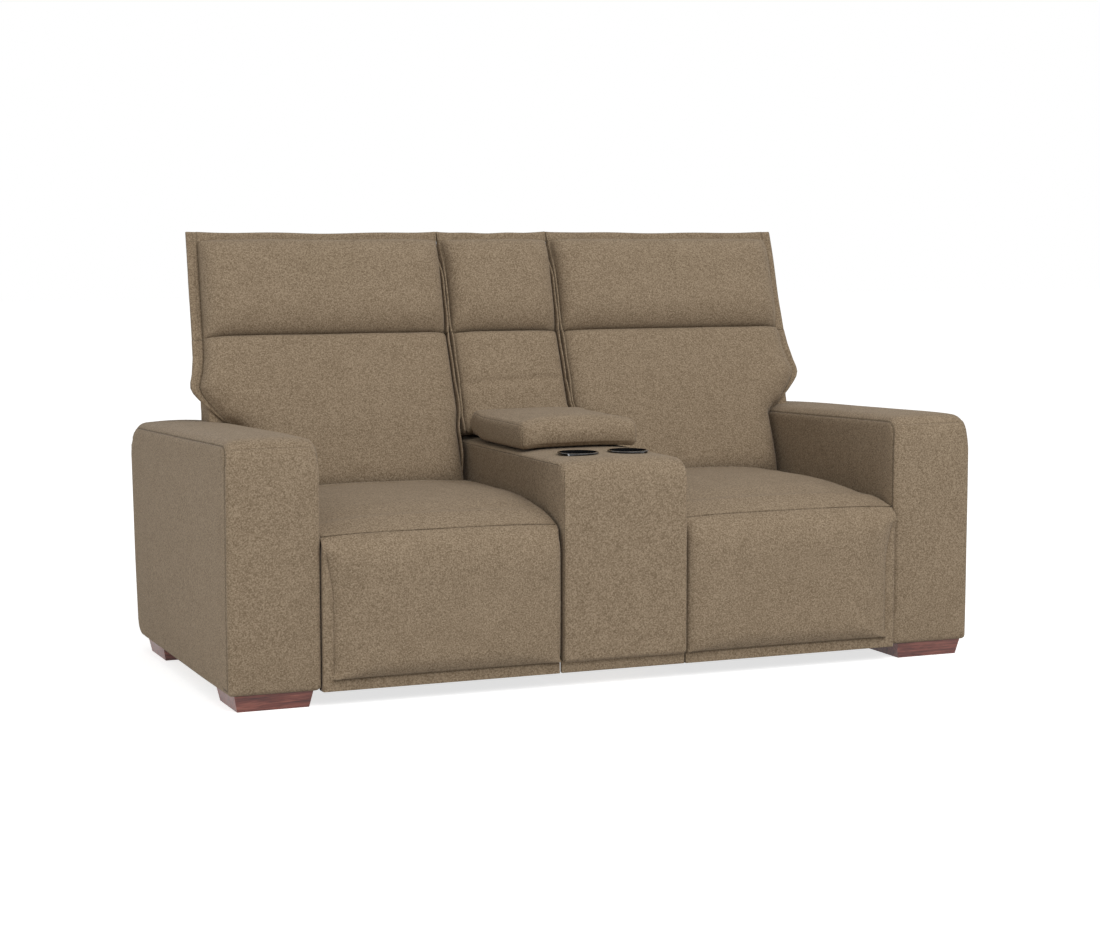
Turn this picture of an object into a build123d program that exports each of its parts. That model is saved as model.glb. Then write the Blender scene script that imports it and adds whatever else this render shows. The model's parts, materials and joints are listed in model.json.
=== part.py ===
from build123d import *
from math import atan2, cos, hypot, radians, sin, tan
import os

os.makedirs("parts", exist_ok=True)

# Overall size, mm. The origin is on the floor under the middle of the whole.
WIDTH = 1930
DEPTH = 1016
HEIGHT = 1073
PAD_PROUD = 30
# All y sizes below are measured back from the front plane of the arms.
FRONT = PAD_PROUD - DEPTH / 2

# Clearances
FIT = 0.3
PIVOT_FIT = 0.1
SIDE_GAP = 4

# Feet
FOOT_HEIGHT = 38
FOOT_TOP = (184, 164)
FOOT_TAPER = 8
FRONT_FOOT_Y = 90
REAR_FOOT_Y = 770
BOLT_R = 4
BOLT_LENGTH = 44
BOLT_SINK = 24

# Arms
ARM_WIDTH = 214
ARM_TOP = 614
ARM_TOP_FALL = 24
ARM_TOP_CUT = 34
ARM_BOTTOM = FOOT_HEIGHT
ARM_REAR_TOP = 962
ARM_REAR_BOTTOM = 905
ARM_REAR_CUT = 46
ARM_ROUND = 20
PADDING = 22
BOARD = 18
ARM_IN = WIDTH / 2 - ARM_WIDTH
FOOT_X = ARM_IN + ARM_WIDTH / 2

# Console
CONSOLE_HALF = 161
CONSOLE_TOP = 543
CONSOLE_BOTTOM = 61
CONSOLE_FRONT = -24
CONSOLE_REAR = 850
CONSOLE_ROLL = 52
CONSOLE_ROUND = 12
CONSOLE_PADDING = 20
GLIDE_R = 18
GLIDE_X = 105
GLIDE_YS = (300, 740)

# Cup holders
CUP_X = 66
CUP_Y = 116
CUP_R = 45
CUP_WALL = 2.5
CUP_DEPTH = 78
CUP_RIM_R = 50
CUP_RIM = 3

# Storage bin
BIN_HALF = 118
BIN_FRONT = 306
BIN_REAR = 550
BIN_BOTTOM = 300
BIN_WALL = 3
BIN_RIM = 2.5
BIN_RIM_OUT = 8

# Console lid
LID_HALF = 150
LID_FRONT = 258
LID_BOTTOM = 546
LID_TOP = 619
LID_CROWN = 13
LID_AXIS = (584, 580)
LID_TURN = radians(45)
LID_END_R = 34
LID_FRONT_R = 26
LID_CHIN = (4, 5)
LID_BROW = (9, 7)
LID_RAKE = 2
LID_DISH = 3
LID_BOARD = 14
LID_BOARD_HALF = 132
LID_BOARD_FRONT = 276
LID_BOARD_REAR = 548
LID_PIN_R = 5
LID_EYE_R = 11
LID_LEAF_X = 78
LID_LEAF_T = 5
LID_POST_T = 6

# Seats: centre line, half width, and the run of the seat carriage
SEAT_X = (CONSOLE_HALF + ARM_IN) / 2
SEAT_HALF = ARM_IN - SEAT_X - SIDE_GAP
SEAT_TOP = 452
SEAT_CROWN = 26
SEAT_BASE = 300
SEAT_REAR = 556
SEAT_SEAM = (12, 396)
SEAT_DISH = 10
SEAT_HIGH_Y = 370
SEAT_ROLL_Y = 165
SEAT_BROW_Y = 68
SEAT_BROW = 8
SEAT_UNDER_Y = 132
SLIDE_FORWARD = 130
SLIDE_RISE = 40
SLIDE_TILT = atan2(SLIDE_RISE, SLIDE_FORWARD)

# Footrest
PAD_TOP_GAP = 5
FLANGE = 12
FLANGE_FRONT = -8
FLANGE_BOTTOM = 35
FLANGE_WIDE = 28
FLANGE_TOP = 372
PAD_FRONT = -PAD_PROUD
PAD_ROLL_Z = 326
PAD_LOW = 61
PAD_SIDE_DROP = 10
PAD_TUCK = 2
PAD_CHIN = 30
PAD_CHIN_MID = (6, 9)
PAD_BROW = (13, 25)
FOOT_PLATE = 3
FOOT_PLATE_HALF = SEAT_HALF - 41
FOOT_PLATE_LOW = 80
FOOT_PLATE_HIGH = 356

# Footrest links: two equal bars a side that carry the footrest straight out
LINK = 166
LINK_R = 13
LINK_T = 5
LINK_PIN_R = 6
LINK_GAP = 2
FOLD = radians(78)
TRAVEL_TILT = radians(10.2)
REST_PIVOT = (66, 262)
DRIVE_ARM = 60
DRIVE_SWING = radians(28)
TUBE_R = 10

# Seat frame and rails
PLATE_OFF = SEAT_HALF - 29
PLATE_T = 4
FRAME_TUBE = 25
FRAME_TOP = 297
FRONT_TUBE_Y = 195
REAR_TUBE_Y = 530
RAIL_OFF = PLATE_OFF + 12
RAIL_T = 10
RAIL_H = 24
RAIL_Y = 300
RAIL_Z = 180
RAIL_FRONT = 90
RAIL_REAR = 562
SHOE_YS = (250, 500)
SHOE_LENGTH = 60
SHOE_WALL = 4.7
SHOE_TOP = 6
CROSS_LOW = 48
CROSS_TALL = 40
CROSS_DEEP = 30
CROSS_YS = (165, 540)
POST_INSET = 5
STRAP_W = 50
STRAP_COUNT = 5
STRAP_PITCH = 100

# Recline actuator
DRIVE_RAIL_HALF = 15
DRIVE_RAIL_LOW = 150
DRIVE_RAIL_H = 18
DRIVE_RAIL_FRONT = 75
MOTOR_FRONT = 450
MOTOR_REAR = 562
MOTOR_HALF = 40
MOTOR_LOW = 142
MOTOR_HIGH = 232
BLOCK_HALF = 26
BLOCK_LENGTH = 50
BLOCK_T = 5
EAR_IN = 10
EAR_T = 6
EAR_HALF = 14
EAR_HIGH = 211
DRIVE_PIN_R = 5
SLOT_FIT = 0.9

# Backs: the flange plane leans back, less so above the headrest seam
BACK_LEAN = radians(22)
HEAD_LEAN = radians(15.7)
BACK_Y = 620
BACK_Z = 431
BACK_LOW = -28
SEAM_V = 417
SEAM_GAP = 2.5
BACK_IN = CONSOLE_HALF + 11
BACK_IN_HIGH = CONSOLE_HALF - 7.5
STEP_LOW = 185
STEP_HIGH = 262
WING_LOW = 200
WING_X = ARM_IN + 111
WING_V = 255
WING_SHOULDER = 350
WING_TURN = (ARM_IN + 89, 221)
WING_EDGE = (ARM_IN + 45, 207)
WING_DROP = 30
WING_BULGE = 6
TIP_DRAW = (1, 0.15)
TURN_DRAW = (0.86, 0.4)
EDGE_DRAW = (0.6, 0.45)
BACK_OUT = ARM_IN + 93
HEAD_OUT_TOP = ARM_IN + 87
BACK_PIVOT = (700, 380)
BACK_PIN_R = 6
BACK_BOSS_R = 18
PILLOW = ((12, 28, 0), (38, 33, 8), (51, 52, 17), (57, 104, 48))
HEAD_PILLOW = ((12, 28, 0), (40, 33, 8.5), (56, 52, 18), (62, 100, 48))
HEAD_FLANGE = 26
HINGE_N = 12
HINGE_R = 8
LUG_FRONT = 9
LUG_REAR = 8
LUG_DROP = 2
LUG_WALL = 3
SHELL_HALF = SEAT_HALF - 2
SHELL_WALL = 14
SHELL_LIP = 5
SHELL_LOW = (800, 325)
SHELL_TOP = (986, 1008)
SHELL_WIDE = ARM_IN + 45
WIDE_LOW_FRONT = 650
WIDE_LOW_REAR = 748
REAR_ROUND = 28

# Back frame and headrest drive
UPRIGHT_OFF = SEAT_HALF - 46
UPRIGHT_W = 22
UPRIGHT_N = (-20, -1)
BAR_VS = (-12, 140, 368)
BAR_W = 22
ARM_OFF = SEAT_HALF - 39
ARM_T = 6
HEAD_PLATE_HALF = SEAT_HALF - 91
HEAD_PLATE_V = (10, 170)
HEAD_PLATE_N = (-12, -8)
HEAD_EAR_OFF = 120
HEAD_LUG_OFF = 132
EAR_PLATE = 6
HEAD_TILT = radians(30)
LEVER_R = 72
LEVER_OFF = 11
ROD_R = 7
ROD_EYE_R = 10
ROD_EYE_HALF = 8
ROD_PIN_R = 4
ROD_PIN_FIT = 1.8
CYLINDER_R = 18
CYLINDER_V = (190, 345)
ROD_LOW = 250
GEARBOX_V = (120, 190)
GEARBOX_HALF = 28

# Middle back
MID_HALF = BACK_IN_HIGH - SIDE_GAP
MID_LOW = 127
MID_SHELL_HALF = MID_HALF - 9.5
MID_BOARD_N = (-30, -12)
MID_BOARD_HALF = 100
MID_BOARD_HIGH = 560

# Rear panels, power supply and controls
PANEL_Y = 832
PANEL_T = 10
PANEL_LOW = 60
PANEL_HIGH = 318
SUPPLY = (90, 90, 50)
SUPPLY_Y = 720
INLET_R = 9
INLET_BORE_R = 4
INLET_DEPTH = 12
PLATE_LONG = 92
PLATE_TALL = 38
PLATE_DEEP = 9
PLATE_WALL = 3
PLATE_Z = 494
LEFT_PLATE_Y = 260
RIGHT_PLATE_Y = 200
ROCKER_LONG = 30
ROCKER_TALL = 24
ROCKER_PITCH = 40
ROCKER_BACK = 4
ROCKER_FRONT = 12
ROCKER_AXIS = 7
ROCKER_PIN_R = 1.8
ROCKER_PIN_OUT = 2.5
ROCKER_GAP = 1.2
ROCKER_DISH = 1.5


def save(name, *pieces):
    """Write one node: its solids, moved to the shared origin."""
    solids = [solid for piece in pieces for solid in piece.solids()]
    node = solids[0] if len(solids) == 1 else Compound(solids)
    node = node.moved(Location((0, FRONT, 0)))
    node.label = name
    export_step(node, f"parts/{name}.step")


def save_pair(name, *pieces):
    """Write a right-hand node and its mirror image on the left."""
    save(f"right_{name}", *pieces)
    save(f"left_{name}", *[piece.mirror(Plane.YZ) for piece in pieces])


def box(x, y, z):
    """Add a box from its low and high limits along each axis."""
    with Locations(((x[0] + x[1]) / 2, (y[0] + y[1]) / 2, (z[0] + z[1]) / 2)):
        Box(x[1] - x[0], y[1] - y[0], z[1] - z[0])


def cut_box(x, y, z):
    """Cut a box away, from its low and high limits along each axis."""
    with Locations(((x[0] + x[1]) / 2, (y[0] + y[1]) / 2, (z[0] + z[1]) / 2)):
        Box(x[1] - x[0], y[1] - y[0], z[1] - z[0], mode=Mode.SUBTRACT)


def slab(points, x, mode=Mode.ADD):
    """Extrude a side-view polygon across from x[0] to x[1]."""
    with BuildSketch(Plane.YZ.offset(x[0])) as side_view:
        with BuildLine():
            Polyline(points, close=True)
        make_face()
    extrude(side_view.sketch, amount=x[1] - x[0], mode=mode)


def rod(centre, radius, x, mode=Mode.ADD):
    """Extrude a side-view circle across from x[0] to x[1]."""
    with BuildSketch(Plane.YZ.offset(x[0])) as side_view:
        with Locations(centre):
            Circle(radius)
    extrude(side_view.sketch, amount=x[1] - x[0], mode=mode)


def bar(start, end, radius, x):
    """A flat bar with round ends between two side-view points."""
    rod(start, radius, x)
    rod(end, radius, x)
    length = hypot(end[0] - start[0], end[1] - start[1])
    off = ((end[1] - start[1]) / length * radius, -(end[0] - start[0]) / length * radius)
    slab(
        [
            (start[0] + off[0], start[1] + off[1]),
            (end[0] + off[0], end[1] + off[1]),
            (end[0] - off[0], end[1] - off[1]),
            (start[0] - off[0], start[1] - off[1]),
        ],
        x,
    )


def across(offset, thickness):
    """The x spans, on both sides of a seat's centre line, of a pair of plates."""
    return (
        (SEAT_X + offset, SEAT_X + offset + thickness),
        (SEAT_X - offset - thickness, SEAT_X - offset),
    )


def on_back(v, n):
    """Side-view point v up the back's flange plane and n in front of it."""
    return (
        BACK_Y + v * sin(BACK_LEAN) - n * cos(BACK_LEAN),
        BACK_Z + v * cos(BACK_LEAN) + n * sin(BACK_LEAN),
    )


SEAM = on_back(SEAM_V, 0)
HINGE = on_back(SEAM_V, HINGE_N)


def on_head(v, n):
    """Side-view point v up the headrest's flange plane and n in front of it."""
    return (
        SEAM[0] + v * sin(HEAD_LEAN) - n * cos(HEAD_LEAN),
        SEAM[1] + v * cos(HEAD_LEAN) + n * sin(HEAD_LEAN),
    )


def back_plane(n):
    """The sketch plane n in front of the back's flange plane."""
    y, z = on_back(0, n)
    return Plane(origin=(0, y, z), x_dir=(1, 0, 0), z_dir=(0, -cos(BACK_LEAN), sin(BACK_LEAN)))


def head_plane(n):
    """The sketch plane n in front of the headrest's flange plane."""
    y, z = on_head(0, n)
    return Plane(origin=(0, y, z), x_dir=(1, 0, 0), z_dir=(0, -cos(HEAD_LEAN), sin(HEAD_LEAN)))


HEAD_TOP_V = (HEIGHT - SEAM[1] - FLANGE * sin(HEAD_LEAN)) / cos(HEAD_LEAN)


def rear_y(z):
    """Depth of the outer back at a height."""
    share = (z - SHELL_LOW[1]) / (SHELL_TOP[1] - SHELL_LOW[1])
    return SHELL_LOW[0] + share * (SHELL_TOP[0] - SHELL_LOW[0])


# Where the headrest parts from the back, from the seam to the outer back
SEAM_LEAN = (BACK_LEAN + HEAD_LEAN) / 2


def seam_rear(lift):
    """Rear end of the parting line, lifted along the back."""
    y, z = SEAM[0] + lift * sin(SEAM_LEAN), SEAM[1] + lift * cos(SEAM_LEAN)
    run = 0
    while y + run * cos(SEAM_LEAN) < rear_y(z - run * sin(SEAM_LEAN)):
        run += 0.5
    return (y + run * cos(SEAM_LEAN), z - run * sin(SEAM_LEAN))


def seam_front(lift):
    """Front end of the parting line on the flange plane, lifted along the back."""
    return (SEAM[0] + lift * sin(SEAM_LEAN), SEAM[1] + lift * cos(SEAM_LEAN))


# Feet and their bolts
def feet(y):
    """A pair of tapered wooden blocks."""
    for side in (-1, 1):
        with BuildSketch(Plane.XY) as sole:
            with Locations((side * FOOT_X, y)):
                Rectangle(FOOT_TOP[0] - 2 * FOOT_TAPER, FOOT_TOP[1] - 2 * FOOT_TAPER)
        with BuildSketch(Plane.XY.offset(FOOT_HEIGHT)) as top:
            with Locations((side * FOOT_X, y)):
                Rectangle(*FOOT_TOP)
        loft([sole.sketch, top.sketch])
        with Locations((side * FOOT_X, y, FOOT_HEIGHT - BOLT_SINK / 2)):
            Cylinder(BOLT_R + PIVOT_FIT, BOLT_SINK, mode=Mode.SUBTRACT)


with BuildPart() as front_feet:
    feet(FRONT_FOOT_Y)
save("front_feet", front_feet.part)

with BuildPart() as rear_feet:
    feet(REAR_FOOT_Y)
save("rear_feet", rear_feet.part)

with BuildPart() as foot_bolts:
    for side in (-1, 1):
        for y in (FRONT_FOOT_Y, REAR_FOOT_Y):
            with Locations((side * FOOT_X, y, FOOT_HEIGHT - BOLT_SINK + BOLT_LENGTH / 2)):
                Cylinder(BOLT_R, BOLT_LENGTH)
save("foot_bolts", foot_bolts.part)


# Arms: a padded cover over an open board frame
def arm_outline(inset):
    """Side view of an arm, drawn in on every side but the bottom."""
    top = ARM_TOP - ARM_TOP_FALL - inset
    lean = (ARM_REAR_TOP - ARM_REAR_BOTTOM) / (ARM_TOP - ARM_TOP_FALL - ARM_BOTTOM - ARM_REAR_CUT)
    rear = ARM_REAR_TOP - inset * (1 + lean)
    corner = ARM_TOP_CUT - inset / 2
    return [
        (inset, ARM_BOTTOM),
        (ARM_REAR_BOTTOM - ARM_REAR_CUT - inset / 2, ARM_BOTTOM),
        (ARM_REAR_BOTTOM - inset, ARM_BOTTOM + ARM_REAR_CUT + inset / 2),
        (rear - lean * corner, top - corner),
        (rear - corner, top),
        (inset, ARM_TOP - inset),
    ]


with BuildPart() as arm_cover:
    slab(arm_outline(0), (ARM_IN, WIDTH / 2))
    floor_edges = arm_cover.faces().sort_by(Axis.Z)[0].edges()
    fillet([edge for edge in arm_cover.edges() if edge not in floor_edges], ARM_ROUND)
    slab(arm_outline(PADDING), (ARM_IN + PADDING, WIDTH / 2 - PADDING), mode=Mode.SUBTRACT)
save_pair("arm_cover", arm_cover.part)

with BuildPart() as arm_frame:
    slab(arm_outline(PADDING), (ARM_IN + PADDING, WIDTH / 2 - PADDING))
    with BuildSketch(Plane.YZ.offset(ARM_IN)):
        with BuildLine():
            Polyline(
                [
                    (PADDING + BOARD, ARM_BOTTOM + BOARD),
                    (ARM_REAR_BOTTOM - ARM_REAR_CUT - PADDING - BOARD, ARM_BOTTOM + BOARD),
                    (ARM_REAR_BOTTOM - PADDING - BOARD, ARM_BOTTOM + ARM_REAR_CUT + PADDING),
                    (ARM_REAR_TOP - 2 * (PADDING + BOARD), ARM_TOP - ARM_TOP_FALL - PADDING - BOARD),
                    (PADDING + BOARD, ARM_TOP - PADDING - BOARD),
                ],
                close=True,
            )
        make_face()
    extrude(amount=ARM_WIDTH, mode=Mode.SUBTRACT)
    for y in (FRONT_FOOT_Y, REAR_FOOT_Y):
        with Locations((FOOT_X, y, ARM_BOTTOM + BOARD / 2)):
            Cylinder(BOLT_R + PIVOT_FIT, 2 * BOARD, mode=Mode.SUBTRACT)
save_pair("arm_frame", arm_frame.part)


# Console: padded cover with a rolled front edge, over an open board frame
def console_block(half, inset, mode=Mode.ADD):
    """The console's outer form, drawn in all round but at the bottom."""
    front = CONSOLE_FRONT + inset
    top = CONSOLE_TOP - inset
    roll = CONSOLE_ROLL - inset
    with BuildSketch(Plane.YZ.offset(-half)) as side_view:
        with BuildLine():
            Line((front, CONSOLE_BOTTOM), (front, top - roll))
            TangentArc((front, top - roll), (front + roll, top), tangent=(0, 1))
            Polyline(
                (front + roll, top),
                (CONSOLE_REAR - inset, top),
                (CONSOLE_REAR - inset, CONSOLE_BOTTOM),
                (front, CONSOLE_BOTTOM),
            )
        make_face()
    extrude(side_view.sketch, amount=2 * half, mode=mode)


def console_holes():
    """Cut the seats of the bin and the two cups, and the inlet, through a console piece."""
    cut_box(
        (-BIN_HALF - BIN_WALL - FIT, BIN_HALF + BIN_WALL + FIT),
        (BIN_FRONT - BIN_WALL - FIT, BIN_REAR + BIN_WALL + FIT),
        (CONSOLE_TOP - 2 * CONSOLE_PADDING - BOARD, CONSOLE_TOP + BIN_WALL),
    )
    for side in (-1, 1):
        with Locations((side * CUP_X, CUP_Y, CONSOLE_TOP)):
            Cylinder(CUP_R + CUP_WALL + FIT, 4 * CONSOLE_PADDING, mode=Mode.SUBTRACT)
    with Locations((0, CONSOLE_REAR, CONSOLE_BOTTOM + BOARD + SUPPLY[2] / 2)):
        Cylinder(INLET_R + FIT, 4 * CONSOLE_PADDING, rotation=(90, 0, 0), mode=Mode.SUBTRACT)


FRAME_HALF = CONSOLE_HALF - CONSOLE_PADDING
with BuildPart() as console_cover:
    console_block(CONSOLE_HALF, 0)
    fillet(
        console_cover.edges().filter_by(GeomType.CIRCLE)
        + console_cover.edges().filter_by(Axis.Y).group_by(Axis.Z)[-1]
        + console_cover.edges().filter_by(Axis.Z).group_by(Axis.Y)[0],
        CONSOLE_ROUND,
    )
    box(
        (-CONSOLE_HALF, CONSOLE_HALF),
        (FLANGE_FRONT, FLANGE_FRONT + FLANGE),
        (FLANGE_BOTTOM, CONSOLE_BOTTOM + FLANGE),
    )
    console_block(FRAME_HALF, CONSOLE_PADDING, mode=Mode.SUBTRACT)
    console_holes()
save("console_cover", console_cover.part)

with BuildPart() as console_frame:
    console_block(FRAME_HALF, CONSOLE_PADDING)
    cut_box(
        (-CONSOLE_HALF, CONSOLE_HALF),
        (CONSOLE_FRONT + CONSOLE_PADDING + BOARD, CONSOLE_REAR - CONSOLE_PADDING - BOARD),
        (CONSOLE_BOTTOM + BOARD, CONSOLE_TOP - CONSOLE_PADDING - BOARD),
    )
    console_holes()
save("console_frame", console_frame.part)

with BuildPart() as console_glides:
    for side in (-1, 1):
        for y in GLIDE_YS:
            with Locations((side * GLIDE_X, y, CONSOLE_BOTTOM / 2)):
                Cylinder(GLIDE_R, CONSOLE_BOTTOM)
save("console_glides", console_glides.part)

with BuildPart() as cup_holders:
    for side in (-1, 1):
        with Locations((side * CUP_X, CUP_Y, CONSOLE_TOP - CUP_DEPTH / 2)):
            Cylinder(CUP_R + CUP_WALL, CUP_DEPTH)
        with Locations((side * CUP_X, CUP_Y, CONSOLE_TOP + CUP_RIM / 2)):
            Cylinder(CUP_RIM_R, CUP_RIM)
    fillet(cup_holders.edges().group_by(Axis.Z)[-1], CUP_RIM / 2)
    for side in (-1, 1):
        with Locations((side * CUP_X, CUP_Y, CONSOLE_TOP + CUP_WALL)):
            Cylinder(CUP_R, 2 * CUP_DEPTH, mode=Mode.SUBTRACT)
        with Locations((side * CUP_X, CUP_Y, CONSOLE_TOP - CUP_DEPTH + CUP_WALL / 2)):
            Cylinder(CUP_R + CUP_WALL, CUP_WALL)
save("cup_holders", cup_holders.part)

with BuildPart() as storage_bin:
    box(
        (-BIN_HALF - BIN_WALL, BIN_HALF + BIN_WALL),
        (BIN_FRONT - BIN_WALL, BIN_REAR + BIN_WALL),
        (BIN_BOTTOM, CONSOLE_TOP),
    )
    box(
        (-BIN_HALF - BIN_RIM_OUT, BIN_HALF + BIN_RIM_OUT),
        (BIN_FRONT - BIN_RIM_OUT, BIN_REAR + BIN_RIM_OUT),
        (CONSOLE_TOP, CONSOLE_TOP + BIN_RIM),
    )
    cut_box(
        (-BIN_HALF, BIN_HALF),
        (BIN_FRONT, BIN_REAR),
        (BIN_BOTTOM + BIN_WALL, CONSOLE_TOP + 2 * BIN_RIM),
    )
save("storage_bin", storage_bin.part)


# Places across a cushion, as shares of its half width, where its section is drawn
SHARES = (-1, -0.75, 0, 0.75, 1)


# Lid: a crowned pad whose rear end is round about its hinge
def lid_section(x, top):
    """Side view of the lid at one place across."""
    y0, z0 = LID_AXIS
    half = LID_END_R * cos(LID_TURN)
    with BuildSketch(Plane.YZ.offset(x)) as side_view:
        with BuildLine():
            Line((y0, LID_BOTTOM), (LID_FRONT + LID_FRONT_R / 2, LID_BOTTOM))
            ThreePointArc(
                (LID_FRONT + LID_FRONT_R / 2, LID_BOTTOM),
                (LID_FRONT + LID_CHIN[0], LID_BOTTOM + LID_CHIN[1]),
                (LID_FRONT, LID_BOTTOM + LID_FRONT_R / 2),
            )
            Line((LID_FRONT, LID_BOTTOM + LID_FRONT_R / 2), (LID_FRONT + LID_RAKE, top - LID_FRONT_R))
            ThreePointArc(
                (LID_FRONT + LID_RAKE, top - LID_FRONT_R),
                (LID_FRONT + LID_BROW[0], top - LID_BROW[1]),
                (LID_FRONT + LID_FRONT_R, top - LID_DISH),
            )
            ThreePointArc(
                (LID_FRONT + LID_FRONT_R, top - LID_DISH),
                ((LID_FRONT + y0) / 2, top),
                (y0, z0 + LID_END_R),
            )
            ThreePointArc((y0, z0 + LID_END_R), (y0 + half, z0 + half), (y0 + LID_END_R, z0))
            ThreePointArc((y0 + LID_END_R, z0), (y0 + half, z0 - half), (y0, LID_BOTTOM))
        make_face()
    return side_view.sketch


with BuildPart() as lid_pad:
    loft([lid_section(share * LID_HALF, LID_TOP - LID_CROWN * share ** 4) for share in SHARES])
    cut_box(
        (-LID_BOARD_HALF - FIT, LID_BOARD_HALF + FIT),
        (LID_BOARD_FRONT - FIT, LID_BOARD_REAR + FIT),
        (LID_BOTTOM - LID_BOARD, LID_BOTTOM + LID_BOARD + FIT),
    )
    for side in (-1, 1):
        cut_box(
            (
                side * LID_LEAF_X - LID_LEAF_T - 3 * FIT - LID_POST_T * (side < 0),
                side * LID_LEAF_X + LID_LEAF_T + 3 * FIT + LID_POST_T * (side > 0),
            ),
            (LID_BOARD_REAR - 2 * LID_EYE_R, LID_AXIS[0] + 2 * LID_END_R),
            (LID_BOTTOM - LID_BOARD, LID_AXIS[1] + LID_EYE_R + 1),
        )
save("lid_pad", lid_pad.part)

with BuildPart() as lid_board:
    box(
        (-LID_BOARD_HALF, LID_BOARD_HALF),
        (LID_BOARD_FRONT, LID_BOARD_REAR),
        (LID_BOTTOM, LID_BOTTOM + LID_BOARD),
    )
save("lid_board", lid_board.part)

LEAF_FOOT = (LID_BOARD_REAR - 14, LID_BOTTOM + LID_BOARD)
with BuildPart() as lid_hinge:
    for side in (-1, 1):
        x = side * LID_LEAF_X
        span = (x - LID_LEAF_T / 2, x + LID_LEAF_T / 2)
        rod(LID_AXIS, LID_EYE_R, span)
        slab(
            [
                LEAF_FOOT,
                (LID_BOARD_REAR, LEAF_FOOT[1]),
                (LID_AXIS[0] + LID_EYE_R * cos(LID_TURN), LID_AXIS[1] - LID_EYE_R * sin(LID_TURN)),
                (LID_AXIS[0], LID_AXIS[1] + LID_EYE_R),
                (LEAF_FOOT[0], LEAF_FOOT[1] + LID_EYE_R),
            ],
            span,
        )
        rod(LID_AXIS, LID_PIN_R + PIVOT_FIT, span, mode=Mode.SUBTRACT)
save("lid_hinge", lid_hinge.part)

with BuildPart() as lid_bracket:
    for side in (-1, 1):
        near = side * (LID_LEAF_X + LID_LEAF_T / 2 + FIT)
        far = near + side * LID_POST_T
        span = (min(near, far), max(near, far))
        rod(LID_AXIS, LID_EYE_R - 1, span)
        box(span, (LID_AXIS[0] - LID_EYE_R + 1, LID_AXIS[0] + LID_EYE_R - 1), (CONSOLE_TOP, LID_AXIS[1]))
        pin_end = side * (LID_LEAF_X - LID_LEAF_T)
        rod(LID_AXIS, LID_PIN_R, (min(pin_end, far), max(pin_end, far)))
save("lid_bracket", lid_bracket.part)


# Base rails: cross rails between arm and console, and the sloping glide rails on them
def rail_z(y):
    """Height of the glide rail's centre line."""
    return RAIL_Z + (RAIL_Y - y) * tan(SLIDE_TILT)


def sloped(y, along, up):
    """Side-view point set off from the glide rail's centre line at a depth."""
    return (
        y - along * cos(SLIDE_TILT) + up * sin(SLIDE_TILT),
        rail_z(y) + along * sin(SLIDE_TILT) + up * cos(SLIDE_TILT),
    )


def sloped_box(y, along, up, x):
    """A box laid along the glide rail's slope."""
    slab(
        [
            sloped(y, along[0], up[0]),
            sloped(y, along[1], up[0]),
            sloped(y, along[1], up[1]),
            sloped(y, along[0], up[1]),
        ],
        x,
    )


rails = []
CROSS_TOP = CROSS_LOW + CROSS_TALL
for y in CROSS_YS:
    with BuildPart() as cross_rail:
        box((CONSOLE_HALF, ARM_IN), (y, y + CROSS_DEEP), (CROSS_LOW, CROSS_TOP))
    rails.append(cross_rail.part)
for span in across(RAIL_OFF, RAIL_T):
    with BuildPart() as glide_rail:
        reach = (RAIL_REAR - RAIL_FRONT) / cos(SLIDE_TILT)
        sloped_box(RAIL_REAR, (0, reach), (-RAIL_H / 2, RAIL_H / 2), span)
        for y in CROSS_YS:
            post = (y + POST_INSET, y + CROSS_DEEP - POST_INSET)
            box(span, post, (CROSS_TOP, rail_z(y + CROSS_DEEP)))
    rails.append(glide_rail.part)
save_pair("base_rails", *rails)


# Seat frame: side plates with shoes on the glide rails, and two cross tubes
TRAVEL = (-cos(TRAVEL_TILT), sin(TRAVEL_TILT))
DROP = (-sin(TRAVEL_TILT), -cos(TRAVEL_TILT))
LINK_ROOT = tuple(REST_PIVOT[i] - 2 * LINK * cos(FOLD) * TRAVEL[i] for i in (0, 1))
LINK_KNEE = tuple(
    LINK_ROOT[i] + LINK * (cos(FOLD) * TRAVEL[i] + sin(FOLD) * DROP[i]) for i in (0, 1)
)

PLATE_FRONT = LINK_ROOT[0] - 2 * BACK_BOSS_R
seat_frame = []
for span in across(PLATE_OFF, PLATE_T):
    with BuildPart() as side_plate:
        slab(
            [
                (PLATE_FRONT, FRAME_TOP),
                (PLATE_FRONT, LINK_ROOT[1] - BACK_BOSS_R),
                sloped(SHOE_YS[0], SHOE_LENGTH / 2, 0),
                sloped(SHOE_YS[1], -SHOE_LENGTH / 2, 0),
                (BACK_PIVOT[0] + BACK_BOSS_R, BACK_PIVOT[1] - BACK_BOSS_R / 4),
                (BACK_PIVOT[0] - BACK_BOSS_R, BACK_PIVOT[1]),
                (REAR_TUBE_Y + 2 * FRAME_TUBE, FRAME_TOP),
            ],
            span,
        )
        rod(BACK_PIVOT, BACK_BOSS_R, span)
        rod(BACK_PIVOT, BACK_PIN_R + PIVOT_FIT, span, mode=Mode.SUBTRACT)
        rod(LINK_ROOT, LINK_PIN_R + PIVOT_FIT, span, mode=Mode.SUBTRACT)
    seat_frame.append(side_plate.part)
SHOE_IN = RAIL_OFF - FIT
SHOE_OUT = RAIL_OFF + RAIL_T + FIT
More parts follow.
